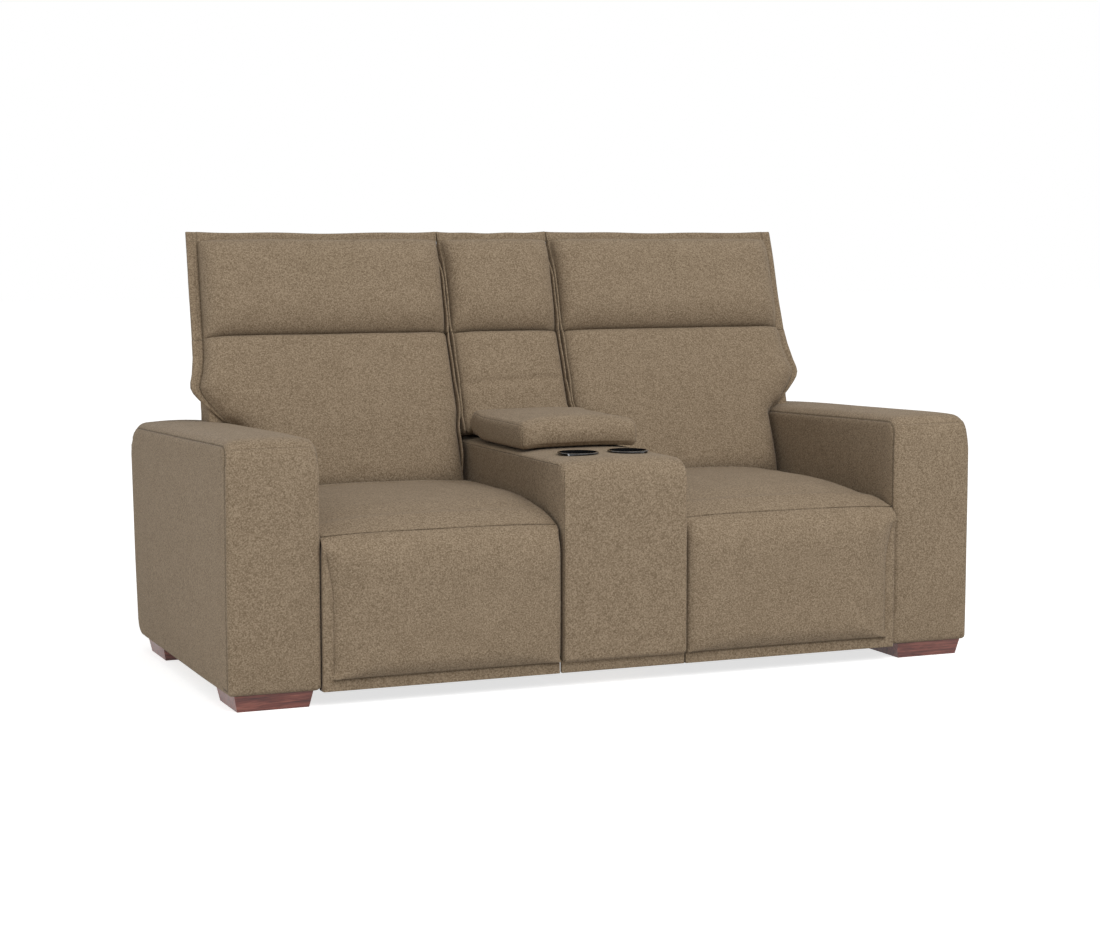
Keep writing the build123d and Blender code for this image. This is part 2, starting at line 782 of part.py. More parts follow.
for y in SHOE_YS:
    half = (-SHOE_LENGTH / 2, SHOE_LENGTH / 2)
    for inner, outer in ((PLATE_OFF + PLATE_T, SHOE_IN), (SHOE_OUT, SHOE_OUT + SHOE_WALL)):
        for span in across(inner, outer - inner):
            with BuildPart() as shoe_wall:
                sloped_box(y, half, (-RAIL_H / 4, RAIL_H / 2 + FIT), span)
            seat_frame.append(shoe_wall.part)
    for span in across(PLATE_OFF + PLATE_T, SHOE_OUT + SHOE_WALL - PLATE_OFF - PLATE_T):
        with BuildPart() as shoe_top:
            sloped_box(y, half, (RAIL_H / 2 + FIT, RAIL_H / 2 + FIT + SHOE_TOP), span)
        seat_frame.append(shoe_top.part)
for y in (FRONT_TUBE_Y, REAR_TUBE_Y):
    with BuildPart() as cross_tube:
        box(
            (SEAT_X - PLATE_OFF, SEAT_X + PLATE_OFF),
            (y, y + FRAME_TUBE),
            (FRAME_TOP - FRAME_TUBE, FRAME_TOP),
        )
    seat_frame.append(cross_tube.part)
save_pair("seat_frame", *seat_frame)

with BuildPart() as seat_webbing:
    for index in range(STRAP_COUNT):
        x = SEAT_X + (index - (STRAP_COUNT - 1) / 2) * STRAP_PITCH
        box(
            (x - STRAP_W / 2, x + STRAP_W / 2),
            (FRONT_TUBE_Y, REAR_TUBE_Y + FRAME_TUBE),
            (FRAME_TOP, SEAT_BASE),
        )
save_pair("seat_webbing", seat_webbing.part)


# Seat cushion: crowned, with a rolled front edge down to the seam
def seat_section(share):
    """Side view of the seat cushion at a share of its half width."""
    drop = SEAT_CROWN * share ** 4
    top = SEAT_TOP - drop
    edge = top - SEAT_DISH
    seam_y, seam_z = SEAT_SEAM[0], SEAT_SEAM[1] - drop / 2
    brow = (SEAT_BROW_Y, (top + seam_z) / 2 + SEAT_BROW)
    with BuildSketch(Plane.YZ.offset(SEAT_X + share * SEAT_HALF)) as side_view:
        with BuildLine():
            Line((SEAT_REAR, SEAT_BASE), (SEAT_REAR, edge))
            ThreePointArc((SEAT_REAR, edge), (SEAT_HIGH_Y, top), (SEAT_ROLL_Y, edge))
            ThreePointArc((SEAT_ROLL_Y, edge), brow, (seam_y, seam_z))
            Line((seam_y, seam_z), (SEAT_UNDER_Y, SEAT_BASE))
            Line((SEAT_UNDER_Y, SEAT_BASE), (SEAT_REAR, SEAT_BASE))
        make_face()
    return side_view.sketch


with BuildPart() as seat_cushion:
    loft([seat_section(share) for share in SHARES])
save_pair("seat_cushion", seat_cushion.part)


# Footrest: a padded front with a flange at the sides and bottom, on a steel plate
def footrest_section(share):
    """Side view of the footrest pad at a share of its half width."""
    drop = share ** 4
    top_y, top_z = SEAT_SEAM[0] - PAD_TUCK, SEAT_SEAM[1] - PAD_TOP_GAP - SEAT_CROWN * drop / 2
    front = PAD_FRONT + PAD_SIDE_DROP * drop
    low = PAD_LOW + FLANGE_WIDE / 4 * drop
    rear = FLANGE_FRONT + FLANGE
    chin = (front + PAD_CHIN_MID[0], low + PAD_CHIN_MID[1])
    brow = (front + PAD_BROW[0], top_z - PAD_BROW[1])
    with BuildSketch(Plane.YZ.offset(SEAT_X + share * (SEAT_HALF - FLANGE_WIDE))) as side_view:
        with BuildLine():
            Line((top_y, top_z), (rear, FLANGE_TOP - SEAT_CROWN * drop / 2))
            Line((rear, FLANGE_TOP - SEAT_CROWN * drop / 2), (rear, low))
            Line((rear, low), (FLANGE_FRONT - PAD_TUCK, low))
            ThreePointArc((FLANGE_FRONT - PAD_TUCK, low), chin, (front, low + PAD_CHIN))
            Line((front, low + PAD_CHIN), (front, PAD_ROLL_Z))
            ThreePointArc((front, PAD_ROLL_Z), brow, (top_y, top_z))
        make_face()
    return side_view.sketch


with BuildPart() as footrest_pad:
    loft([footrest_section(share) for share in SHARES])
    box(
        (SEAT_X - SEAT_HALF, SEAT_X + SEAT_HALF),
        (FLANGE_FRONT, FLANGE_FRONT + FLANGE),
        (FLANGE_BOTTOM, FLANGE_TOP - SEAT_CROWN),
    )
save_pair("footrest_pad", footrest_pad.part)

FOOT_PLATE_Y = FLANGE_FRONT + FLANGE
BRACKET_OFF = PLATE_OFF - 3 * (LINK_T + LINK_GAP)
footrest_frame = []
with BuildPart() as foot_plate:
    box(
        (SEAT_X - FOOT_PLATE_HALF, SEAT_X + FOOT_PLATE_HALF),
        (FOOT_PLATE_Y, FOOT_PLATE_Y + FOOT_PLATE),
        (FOOT_PLATE_LOW, FOOT_PLATE_HIGH),
    )
footrest_frame.append(foot_plate.part)
for side, span in zip((1, -1), across(BRACKET_OFF, LINK_T)):
    with BuildPart() as foot_bracket:
        rod(REST_PIVOT, LINK_R, span)
        slab(
            [
                (FOOT_PLATE_Y + FOOT_PLATE, REST_PIVOT[1] - 3 * LINK_R),
                (REST_PIVOT[0], REST_PIVOT[1] - LINK_R),
                (REST_PIVOT[0], REST_PIVOT[1] + LINK_R),
                (FOOT_PLATE_Y + FOOT_PLATE, REST_PIVOT[1] + 3 * LINK_R),
            ],
            span,
        )
        inner = span[0] if side > 0 else span[0] - LINK_T - LINK_GAP
        rod(REST_PIVOT, LINK_PIN_R, (inner, inner + 2 * LINK_T + LINK_GAP))
    footrest_frame.append(foot_bracket.part)
save_pair("footrest_frame", *footrest_frame)

# Footrest links
REAR_LINK_OFF = PLATE_OFF - LINK_T - LINK_GAP
FRONT_LINK_OFF = PLATE_OFF - 2 * (LINK_T + LINK_GAP)
leg_link_rear = []
for side, span in zip((1, -1), across(REAR_LINK_OFF, LINK_T)):
    with BuildPart() as rear_bar:
        bar(LINK_ROOT, LINK_KNEE, LINK_R, span)
        rod(LINK_KNEE, LINK_PIN_R + PIVOT_FIT, span, mode=Mode.SUBTRACT)
        inner = span[0] if side > 0 else span[0] - LINK_GAP - PLATE_T
        rod(LINK_ROOT, LINK_PIN_R, (inner, inner + LINK_T + LINK_GAP + PLATE_T))
    leg_link_rear.append(rear_bar.part)
with BuildPart() as torque_tube:
    rod(LINK_ROOT, TUBE_R, (SEAT_X - REAR_LINK_OFF, SEAT_X + REAR_LINK_OFF))
leg_link_rear.append(torque_tube.part)
DRIVE_PIN = (
    LINK_ROOT[0] + DRIVE_ARM * sin(DRIVE_SWING),
    LINK_ROOT[1] - DRIVE_ARM * cos(DRIVE_SWING),
)
with BuildPart() as drive_arm:
    bar(LINK_ROOT, DRIVE_PIN, LINK_R, (SEAT_X - LINK_T, SEAT_X + LINK_T))
    rod(LINK_ROOT, TUBE_R, (SEAT_X - LINK_T, SEAT_X + LINK_T), mode=Mode.SUBTRACT)
    pin_half = EAR_IN + EAR_T + 2
    rod(DRIVE_PIN, DRIVE_PIN_R, (SEAT_X - pin_half, SEAT_X + pin_half))
leg_link_rear.append(drive_arm.part)
save_pair("leg_link_rear", *leg_link_rear)

leg_link_front = []
for side, span in zip((1, -1), across(FRONT_LINK_OFF, LINK_T)):
    with BuildPart() as front_bar:
        bar(LINK_KNEE, REST_PIVOT, LINK_R, span)
        rod(REST_PIVOT, LINK_PIN_R + PIVOT_FIT, span, mode=Mode.SUBTRACT)
        inner = span[0] if side > 0 else span[0] - LINK_T - LINK_GAP
        rod(LINK_KNEE, LINK_PIN_R, (inner, inner + 2 * LINK_T + LINK_GAP))
    leg_link_front.append(front_bar.part)
save_pair("leg_link_front", *leg_link_front)

# Recline actuator: motor and rail under the seat, with a drive block on the rail
DRIVE_RAIL_TOP = DRIVE_RAIL_LOW + DRIVE_RAIL_H
actuator = []
with BuildPart() as drive_rail:
    box(
        (SEAT_X - DRIVE_RAIL_HALF, SEAT_X + DRIVE_RAIL_HALF),
        (DRIVE_RAIL_FRONT, MOTOR_FRONT),
        (DRIVE_RAIL_LOW, DRIVE_RAIL_TOP),
    )
actuator.append(drive_rail.part)
with BuildPart() as motor:
    box(
        (SEAT_X - MOTOR_HALF, SEAT_X + MOTOR_HALF),
        (MOTOR_FRONT, MOTOR_REAR),
        (MOTOR_LOW, MOTOR_HIGH),
    )
    fillet(motor.edges().filter_by(Axis.Y), BACK_BOSS_R)
actuator.append(motor.part)
with BuildPart() as motor_bracket:
    box(
        (SEAT_X - DRIVE_RAIL_HALF, SEAT_X + DRIVE_RAIL_HALF),
        (REAR_TUBE_Y, REAR_TUBE_Y + FRAME_TUBE),
        (MOTOR_HIGH, FRAME_TOP - FRAME_TUBE),
    )
actuator.append(motor_bracket.part)
for span in across(DRIVE_RAIL_HALF, PLATE_T):
    with BuildPart() as rail_hanger:
        box(span, (FRONT_TUBE_Y, FRONT_TUBE_Y + FRAME_TUBE), (DRIVE_RAIL_LOW, FRAME_TOP - FRAME_TUBE))
    actuator.append(rail_hanger.part)
save_pair("recline_actuator", *actuator)

BLOCK_LOW = DRIVE_RAIL_TOP + FIT
drive_block = []
with BuildPart() as block_base:
    box(
        (SEAT_X - BLOCK_HALF, SEAT_X + BLOCK_HALF),
        (DRIVE_PIN[0] - BLOCK_LENGTH / 2, DRIVE_PIN[0] + BLOCK_LENGTH / 2),
        (BLOCK_LOW, BLOCK_LOW + BLOCK_T),
    )
drive_block.append(block_base.part)
SLOT_LOW = LINK_ROOT[1] - DRIVE_ARM
for span in across(EAR_IN, EAR_T):
    with BuildPart() as block_ear:
        box(span, (DRIVE_PIN[0] - EAR_HALF, DRIVE_PIN[0] + EAR_HALF), (BLOCK_LOW + BLOCK_T, EAR_HIGH))
        slot_r = DRIVE_PIN_R + SLOT_FIT
        cut_box(
            span,
            (DRIVE_PIN[0] - slot_r, DRIVE_PIN[0] + slot_r),
            (SLOT_LOW - DRIVE_PIN_R, DRIVE_PIN[1] + slot_r),
        )
    drive_block.append(block_ear.part)
save_pair("drive_block", *drive_block)


# Back pad: a flange with a wing over the arm, and the pillow on it
def back_outline(n, inset, seam, low):
    """Outline of the back on its flange plane, drawn in by the given amounts."""
    top = SEAM_V - SEAM_GAP - seam
    bottom = BACK_LOW + low
    out = BACK_OUT - inset
    narrow = SEAT_X + SEAT_HALF - 1 - inset
    root = (narrow, WING_LOW + inset / 2)
    shoulder = (out, min(WING_SHOULDER, top - WING_DROP))
    tip = (WING_X - inset * TIP_DRAW[0], WING_V + inset * TIP_DRAW[1])
    turn = (WING_TURN[0] - inset * TURN_DRAW[0], WING_TURN[1] + inset * TURN_DRAW[1])
    edge = (WING_EDGE[0] - inset * EDGE_DRAW[0], WING_EDGE[1] + inset * EDGE_DRAW[1])
    bulge = ((shoulder[0] + tip[0]) / 2 + WING_BULGE, (shoulder[1] + tip[1]) / 2)
    with BuildSketch(back_plane(n)) as front_view:
        with BuildLine():
            Polyline(
                root,
                (narrow, bottom),
                (BACK_IN + inset, bottom),
                (BACK_IN + inset, STEP_LOW),
                (BACK_IN_HIGH + inset, STEP_HIGH),
                (BACK_IN_HIGH + inset, top),
                (out, top),
                shoulder,
            )
            ThreePointArc(shoulder, bulge, tip)
            ThreePointArc(tip, turn, edge)
            Line(edge, root)
        make_face()
    return front_view.sketch


HINGE_NOTCH = 13
NOTCH_HALF = HEAD_LUG_OFF + EAR_PLATE + 12


def notch(v):
    """Cut room for the headrest hinge out of a pad beside the seam."""
    points = [on_back(v[0], -FLANGE), on_back(v[0], HINGE_N + HINGE_NOTCH)]
    points += [on_back(v[1], HINGE_N + HINGE_NOTCH), on_back(v[1], -FLANGE)]
    slab(points, (SEAT_X - NOTCH_HALF, SEAT_X + NOTCH_HALF), mode=Mode.SUBTRACT)


with BuildPart() as back_pad:
    extrude(back_outline(0, 0, 0, 0), amount=FLANGE)
    loft([back_outline(height, inset, edge, edge) for height, inset, edge in PILLOW])
    notch((BAR_VS[-1] + BAR_W - 1, SEAM_V + HINGE_NOTCH))
save_pair("back_pad", back_pad.part)


with BuildPart() as back_shell:
    shell_side = [
        on_back(BACK_LOW, -FIT),
        SHELL_LOW,
        seam_rear(-SEAM_GAP),
        seam_front(-SEAM_GAP),
    ]
    slab(shell_side, (SEAT_X - SHELL_HALF, SEAT_X + SHELL_HALF))
    slab(
        [
            on_back(BACK_LOW * 4, FLANGE),
            (SHELL_LOW[0] - SHELL_WALL, SHELL_LOW[1] - SHELL_WALL),
            (seam_rear(-SHELL_WALL)[0] - SHELL_WALL, seam_rear(-SHELL_WALL)[1]),
            (seam_front(-SHELL_WALL)[0] - SHELL_WALL, seam_front(-SHELL_WALL)[1] + SHELL_LIP),
        ],
        (SEAT_X - SHELL_HALF + SHELL_WALL, SEAT_X + SHELL_HALF - SHELL_WALL),
        mode=Mode.SUBTRACT,
    )
    slab(
        [
            ((WIDE_LOW_FRONT - BACK_Z) * tan(BACK_LEAN) + BACK_Y + FIT, WIDE_LOW_FRONT),
            (rear_y(WIDE_LOW_REAR), WIDE_LOW_REAR),
            seam_rear(-SEAM_GAP),
            seam_front(-SEAM_GAP),
        ],
        (SEAT_X + SHELL_HALF - 1, SHELL_WIDE),
    )
    cut_box(
        (SEAT_X - NOTCH_HALF, SEAT_X + NOTCH_HALF),
        (SEAM[0] - LEVER_R, SEAM[0] + LEVER_R + HINGE_NOTCH),
        (SEAM[1] - LEVER_R, SEAM[1] + LEVER_R),
    )
save_pair("back_shell", back_shell.part)

# Back frame: tube ladder, hinge plates to the seat frame, and lugs for the headrest
with BuildPart() as back_frame:
    low_n, high_n = UPRIGHT_N
    for span in across(UPRIGHT_OFF, UPRIGHT_W):
        slab(
            [
                on_back(BAR_VS[0], low_n),
                on_back(BAR_VS[0], high_n),
                on_back(BAR_VS[-1] + BAR_W, high_n),
                on_back(BAR_VS[-1] + BAR_W, low_n),
            ],
            span,
        )
    for v in BAR_VS:
        slab(
            [on_back(v, low_n), on_back(v, high_n), on_back(v + BAR_W, high_n), on_back(v + BAR_W, low_n)],
            (SEAT_X - UPRIGHT_OFF, SEAT_X + UPRIGHT_OFF),
        )
    for side, span in zip((1, -1), across(ARM_OFF, ARM_T)):
        rod(BACK_PIVOT, BACK_BOSS_R, span)
        slab(
            [
                on_back(BAR_VS[0], high_n),
                (BACK_PIVOT[0], BACK_PIVOT[1] - BACK_BOSS_R),
                (BACK_PIVOT[0] + BACK_BOSS_R, BACK_PIVOT[1]),
                on_back(BAR_VS[0] + 4 * BAR_W, low_n),
            ],
            span,
        )
        inner = span[0] if side > 0 else SEAT_X - PLATE_OFF - PLATE_T
        rod(BACK_PIVOT, BACK_PIN_R, (inner, inner + PLATE_OFF + PLATE_T - ARM_OFF))
    for span in across(HEAD_LUG_OFF, EAR_PLATE):
        rod(HINGE, HINGE_R + LUG_WALL, span)
        slab(
            [
                on_back(SEAM_V - LUG_DROP, HINGE_N + LUG_FRONT),
                on_back(BAR_VS[-1] + BAR_W, high_n),
                on_back(BAR_VS[-1] + BAR_W, low_n),
                on_back(SEAM_V - LUG_DROP, low_n + LUG_REAR),
            ],
            span,
        )
        rod(HINGE, HINGE_R + PIVOT_FIT, span, mode=Mode.SUBTRACT)
save_pair("back_frame", back_frame.part)


# Headrest: pillow, flange and padded rear in one, round a steel plate on a hinge tube
def head_outline(n, inset, seam, top_in, low_x, high_x):
    """Outline of a headrest n in front of its flange plane, drawn in by the given amounts."""
    top = HEAD_TOP_V - top_in
    with BuildSketch(head_plane(n)) as front_view:
        with BuildLine():
            Polyline(
                (low_x + inset, SEAM_GAP + seam),
                (low_x + inset, top),
                (high_x[1] - inset, top),
                (high_x[0] - inset, SEAM_GAP + seam),
                close=True,
            )
        make_face()
    return front_view.sketch


def head_pad(low_x, high_x, rear_x):
    """The soft part of a headrest between the given x limits."""
    slab(
        [
            on_head(SEAM_GAP, FLANGE / 4),
            on_head(SEAM_GAP, 0),
            seam_rear(SEAM_GAP),
            SHELL_TOP,
            (SHELL_TOP[0] - REAR_ROUND, SHELL_TOP[1] + REAR_ROUND),
            on_head(HEAD_TOP_V - HEAD_FLANGE, 0),
            on_head(HEAD_TOP_V - HEAD_FLANGE, FLANGE / 4),
        ],
        rear_x,
    )
    extrude(head_outline(0, 0, 0, 0, low_x, high_x), amount=FLANGE)
    loft(
        [
            head_outline(height, inset, edge, HEAD_FLANGE + edge, low_x, high_x)
            for height, inset, edge in HEAD_PILLOW
        ]
    )


with BuildPart() as headrest_pad:
    head_pad(BACK_IN_HIGH, (BACK_OUT, HEAD_OUT_TOP), (SEAT_X - SHELL_HALF, SHELL_WIDE))
    notch((SEAM_V - 2 * HINGE_NOTCH, SEAM_V + HINGE_NOTCH))
    slab(
        [
            on_head(-HINGE_NOTCH, HEAD_PLATE_N[0] - FIT),
            on_head(-HINGE_NOTCH, HEAD_PLATE_N[1] + FIT),
            on_head(HEAD_PLATE_V[1] + FIT, HEAD_PLATE_N[1] + FIT),
            on_head(HEAD_PLATE_V[1] + FIT, HEAD_PLATE_N[0] - FIT),
        ],
        (SEAT_X - HEAD_PLATE_HALF - FIT, SEAT_X + HEAD_PLATE_HALF + FIT),
        mode=Mode.SUBTRACT,
    )
save_pair("headrest_pad", headrest_pad.part)

LEVER_END = (
    HINGE[0] + LEVER_R * cos(BACK_LEAN + HEAD_TILT / 2),
    HINGE[1] - LEVER_R * sin(BACK_LEAN + HEAD_TILT / 2),
)
with BuildPart() as headrest_frame:
    rod(HINGE, HINGE_R, (SEAT_X - NOTCH_HALF + 4, SEAT_X + NOTCH_HALF - 4))
    slab(
        [
            on_head(HEAD_PLATE_V[0], HEAD_PLATE_N[0]),
            on_head(HEAD_PLATE_V[0], HEAD_PLATE_N[1]),
            on_head(HEAD_PLATE_V[1], HEAD_PLATE_N[1]),
            on_head(HEAD_PLATE_V[1], HEAD_PLATE_N[0]),
        ],
        (SEAT_X - HEAD_PLATE_HALF, SEAT_X + HEAD_PLATE_HALF),
    )
    for span in across(HEAD_EAR_OFF, EAR_PLATE) + across(LEVER_OFF, EAR_PLATE):
        slab(
            [
                HINGE,
                on_head(HEAD_PLATE_V[0], HEAD_PLATE_N[1]),
                on_head(HEAD_PLATE_V[0], HEAD_PLATE_N[0]),
                on_head(-HINGE_R, HEAD_PLATE_N[0]),
                on_head(-HINGE_R, HINGE_N),
            ],
            span,
        )
    for span in across(LEVER_OFF, EAR_PLATE):
        bar(HINGE, LEVER_END, HINGE_R, span)
    rod(LEVER_END, ROD_PIN_R, (SEAT_X - LEVER_OFF - EAR_PLATE, SEAT_X + LEVER_OFF + EAR_PLATE))
save_pair("headrest_frame", headrest_frame.part)

# Headrest actuator and its rod, behind the back frame
LEVER_N = HINGE_N - LEVER_R * (1 + cos(HEAD_TILT / 2)) / 2
ROD_END_V = SEAM_V - LEVER_R * sin(HEAD_TILT / 2)
ROD_END = on_back(ROD_END_V, LEVER_N)
LIFT = Plane(
    origin=(SEAT_X, *on_back(0, LEVER_N)),
    x_dir=(1, 0, 0),
    z_dir=(0, sin(BACK_LEAN), cos(BACK_LEAN)),
)
with BuildPart() as headrest_rod:
    with BuildSketch(LIFT.offset(ROD_LOW)):
        Circle(ROD_R)
    extrude(amount=ROD_END_V - ROD_LOW - ROD_EYE_R / 2)
    rod(ROD_END, ROD_EYE_R, (SEAT_X - ROD_EYE_HALF, SEAT_X + ROD_EYE_HALF))
    rod(ROD_END, ROD_PIN_R + ROD_PIN_FIT, (SEAT_X - ROD_EYE_HALF, SEAT_X + ROD_EYE_HALF), Mode.SUBTRACT)
save_pair("headrest_rod", headrest_rod.part)

with BuildPart() as headrest_actuator:
    with BuildSketch(LIFT.offset(CYLINDER_V[0])):
        Circle(CYLINDER_R)
    extrude(amount=CYLINDER_V[1] - CYLINDER_V[0])
    with BuildSketch(LIFT.offset(ROD_LOW - FIT)):
        Circle(ROD_R + PIVOT_FIT)
    extrude(amount=CYLINDER_V[1] - ROD_LOW + 2 * FIT, mode=Mode.SUBTRACT)
    slab(
        [
            on_back(GEARBOX_V[0], LEVER_N - GEARBOX_HALF),
            on_back(GEARBOX_V[0], UPRIGHT_N[0]),
            on_back(GEARBOX_V[1], UPRIGHT_N[0]),
            on_back(GEARBOX_V[1], LEVER_N - GEARBOX_HALF),
        ],
        (SEAT_X - GEARBOX_HALF, SEAT_X + GEARBOX_HALF),
    )
save_pair("headrest_actuator", headrest_actuator.part)

# Middle back: fixed, with the same fall as the seat backs
MID_TOP = CONSOLE_TOP + FIT


def mid_foot(n):
    """Point on the console's top at a distance in front of the flange plane."""
    return on_back((CONSOLE_TOP - BACK_Z - n * sin(BACK_LEAN)) / cos(BACK_LEAN), n)


MID_BOARD_SIDE = [
    mid_foot(MID_BOARD_N[1]),
    mid_foot(MID_BOARD_N[0]),
    on_back(MID_BOARD_HIGH, MID_BOARD_N[0]),
    on_back(MID_BOARD_HIGH, MID_BOARD_N[1]),
]
with BuildPart() as centre_back_frame:
    slab(MID_BOARD_SIDE, (-MID_BOARD_HALF, MID_BOARD_HALF))
save("centre_back_frame", centre_back_frame.part)

with BuildPart() as centre_back_pad:
    head_pad(-MID_HALF, (MID_HALF, MID_HALF), (-MID_SHELL_HALF, MID_SHELL_HALF))
    slab(
        [
            (on_back(MID_LOW, 0)[0], MID_TOP),
            (rear_y(MID_TOP), MID_TOP),
            seam_rear(2 * SEAM_GAP),
            on_back(SEAM_V + 2 * SEAM_GAP, 0),
            on_back(SEAM_V - SEAM_GAP, FLANGE / 4),
            on_back(MID_LOW, FLANGE / 4),
            on_back(MID_LOW, 0),
        ],
        (-MID_SHELL_HALF, MID_SHELL_HALF),
    )
    with BuildSketch(back_plane(0)):
        with Locations((0, (MID_LOW + SEAM_V - SEAM_GAP) / 2)):
            Rectangle(2 * MID_HALF, SEAM_V - SEAM_GAP - MID_LOW)
    extrude(amount=FLANGE)
    for height, inset, edge in PILLOW:
        with BuildSketch(back_plane(height)):
            with Locations((0, (MID_LOW + SEAM_V - SEAM_GAP) / 2)):
                Rectangle(2 * (MID_HALF - inset), SEAM_V - SEAM_GAP - MID_LOW - 2 * edge)
    loft()
    slab(MID_BOARD_SIDE, (-MID_BOARD_HALF - FIT, MID_BOARD_HALF + FIT), mode=Mode.SUBTRACT)
save("centre_back_pad", centre_back_pad.part)

# Rear panels between the arms and the console
with BuildPart() as rear_panels:
    for side in (-1, 1):
        near, far = sorted((side * CONSOLE_HALF, side * ARM_IN))
        box((near, far), (PANEL_Y, PANEL_Y + PANEL_T), (PANEL_LOW, PANEL_HIGH))
save("rear_panels", rear_panels.part)

# Power supply on the console's floor, its inlet through the rear
with BuildPart() as power_supply:
    low = CONSOLE_BOTTOM + BOARD
    box(
        (-SUPPLY[0] / 2, SUPPLY[0] / 2),
        (SUPPLY_Y, SUPPLY_Y + SUPPLY[1]),
        (low, low + SUPPLY[2]),
    )
    fillet(power_supply.edges().filter_by(Axis.Z), BIN_WALL)
    inlet_run = CONSOLE_REAR - SUPPLY_Y - SUPPLY[1]
    with Locations((0, CONSOLE_REAR - inlet_run / 2, low + SUPPLY[2] / 2)):
        Cylinder(INLET_R, inlet_run, rotation=(90, 0, 0))
    with Locations((0, CONSOLE_REAR - INLET_DEPTH / 2, low + SUPPLY[2] / 2)):
        Cylinder(INLET_BORE_R, INLET_DEPTH, rotation=(90, 0, 0), mode=Mode.SUBTRACT)
save("power_supply", power_supply.part)


# Controls: a plate with two rocker switches at each sitter's right hand
def controls(side, face_x, y):
    """A control plate on a face that looks to +X, with its two rockers."""
    half_tall = PLATE_TALL / 2
    with BuildPart() as plate:
        box(
            (face_x, face_x + PLATE_DEEP),
            (y - PLATE_LONG / 2, y + PLATE_LONG / 2),
            (PLATE_Z - half_tall, PLATE_Z + half_tall),
        )
        fillet(plate.edges().filter_by(Axis.X), PLATE_WALL)
        for shift in (-ROCKER_PITCH / 2, ROCKER_PITCH / 2):
            cut_box(
                (face_x + PLATE_WALL / 3, face_x + 2 * PLATE_DEEP),
                (y + shift - ROCKER_LONG / 2 - FIT, y + shift + ROCKER_LONG / 2 + FIT),
                (PLATE_Z - ROCKER_TALL / 2 - ROCKER_GAP, PLATE_Z + ROCKER_TALL / 2 + ROCKER_GAP),
            )
            with Locations((face_x + ROCKER_AXIS, y + shift, PLATE_Z)):
                Cylinder(
                    ROCKER_PIN_R + PIVOT_FIT,
                    ROCKER_LONG + 2 * ROCKER_PIN_OUT + FIT,
                    rotation=(90, 0, 0),
                    mode=Mode.SUBTRACT,
                )
    save(f"{side}_control_plate", plate.part)
    for name, shift in (("recline", -ROCKER_PITCH / 2), ("headrest", ROCKER_PITCH / 2)):
        with BuildPart() as rocker:
            with BuildSketch(Plane.XZ.offset(-(y + shift + ROCKER_LONG / 2))) as end_view:
                with BuildLine():
                    low, high = PLATE_Z - ROCKER_TALL / 2, PLATE_Z + ROCKER_TALL / 2
                    Polyline(
                        (face_x + ROCKER_FRONT, low),
                        (face_x + ROCKER_BACK, low),
                        (face_x + ROCKER_BACK, high),
                        (face_x + ROCKER_FRONT, high),
                    )
                    ThreePointArc(
                        (face_x + ROCKER_FRONT, high),
                        (face_x + ROCKER_FRONT - ROCKER_DISH, PLATE_Z),
                        (face_x + ROCKER_FRONT, low),
                    )
                make_face()
            extrude(end_view.sketch, amount=ROCKER_LONG)
            with Locations((face_x + ROCKER_AXIS, y + shift, PLATE_Z)):
                Cylinder(ROCKER_PIN_R, ROCKER_LONG + 2 * ROCKER_PIN_OUT, rotation=(90, 0, 0))
        save(f"{side}_{name}_rocker", rocker.part)


controls("left", -ARM_IN, LEFT_PLATE_Y)
controls("right", CONSOLE_HALF, RIGHT_PLATE_Y)
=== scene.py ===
import json
import math

import bmesh
import bpy
import numpy as np
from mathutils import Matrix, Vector, noise


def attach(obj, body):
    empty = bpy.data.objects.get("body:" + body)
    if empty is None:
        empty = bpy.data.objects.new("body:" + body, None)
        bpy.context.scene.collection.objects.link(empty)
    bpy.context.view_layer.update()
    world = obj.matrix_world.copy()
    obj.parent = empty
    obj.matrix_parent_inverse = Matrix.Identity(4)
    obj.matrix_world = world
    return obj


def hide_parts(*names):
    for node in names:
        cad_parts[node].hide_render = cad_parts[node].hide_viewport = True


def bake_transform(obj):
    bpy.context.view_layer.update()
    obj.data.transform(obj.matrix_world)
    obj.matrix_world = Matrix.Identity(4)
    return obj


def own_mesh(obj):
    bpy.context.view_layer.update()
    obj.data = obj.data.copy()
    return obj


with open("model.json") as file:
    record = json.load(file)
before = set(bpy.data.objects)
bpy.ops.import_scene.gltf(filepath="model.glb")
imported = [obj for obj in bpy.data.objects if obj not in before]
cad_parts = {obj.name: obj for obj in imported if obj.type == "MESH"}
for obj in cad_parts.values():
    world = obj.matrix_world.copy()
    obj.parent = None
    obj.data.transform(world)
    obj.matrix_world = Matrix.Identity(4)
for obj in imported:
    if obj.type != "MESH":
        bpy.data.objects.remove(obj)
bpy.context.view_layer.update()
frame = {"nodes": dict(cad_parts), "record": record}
scene = bpy.context.scene

# Places are given in mm: across, back from the arms' front plane, and up.
MM = 0.001
FRONT_PLANE = -478

ARM_IN, ARM_OUT, ARM_TOP, ARM_FOOT = 751, 965, 614, 38
ARM_REAR_TOP, ARM_REAR_LOW, ARM_FALL, ARM_FULL = 962, 905, 30, 4
ARM_RADII, ARM_SEAM_IN = (45, 75, 10, 46), 12
SEAT_MIDDLE, SEAT_HALF, SEAM_DROOP = 456, 291, 5
CONSOLE_HALF, CONSOLE_TOP, CONSOLE_FRONT, CONSOLE_ROLL = 161, 543, -24, 52
CONSOLE_FOOT, CONSOLE_REAR, WELL_TOP = 61, 850, 560
CUP_RADIUS, CUP_APART, CUP_BACK, CUP_FLOOR = 48.2, 66, 116, 460
BIN_HALF, BIN_FRONT, BIN_REAR, BIN_FLOOR = 121.5, 302.5, 553.5, 296
LID_HALF, LID_FRONT, LID_REAR, LID_LOW, LID_SKIN = 156, 248, 616, 548, 615
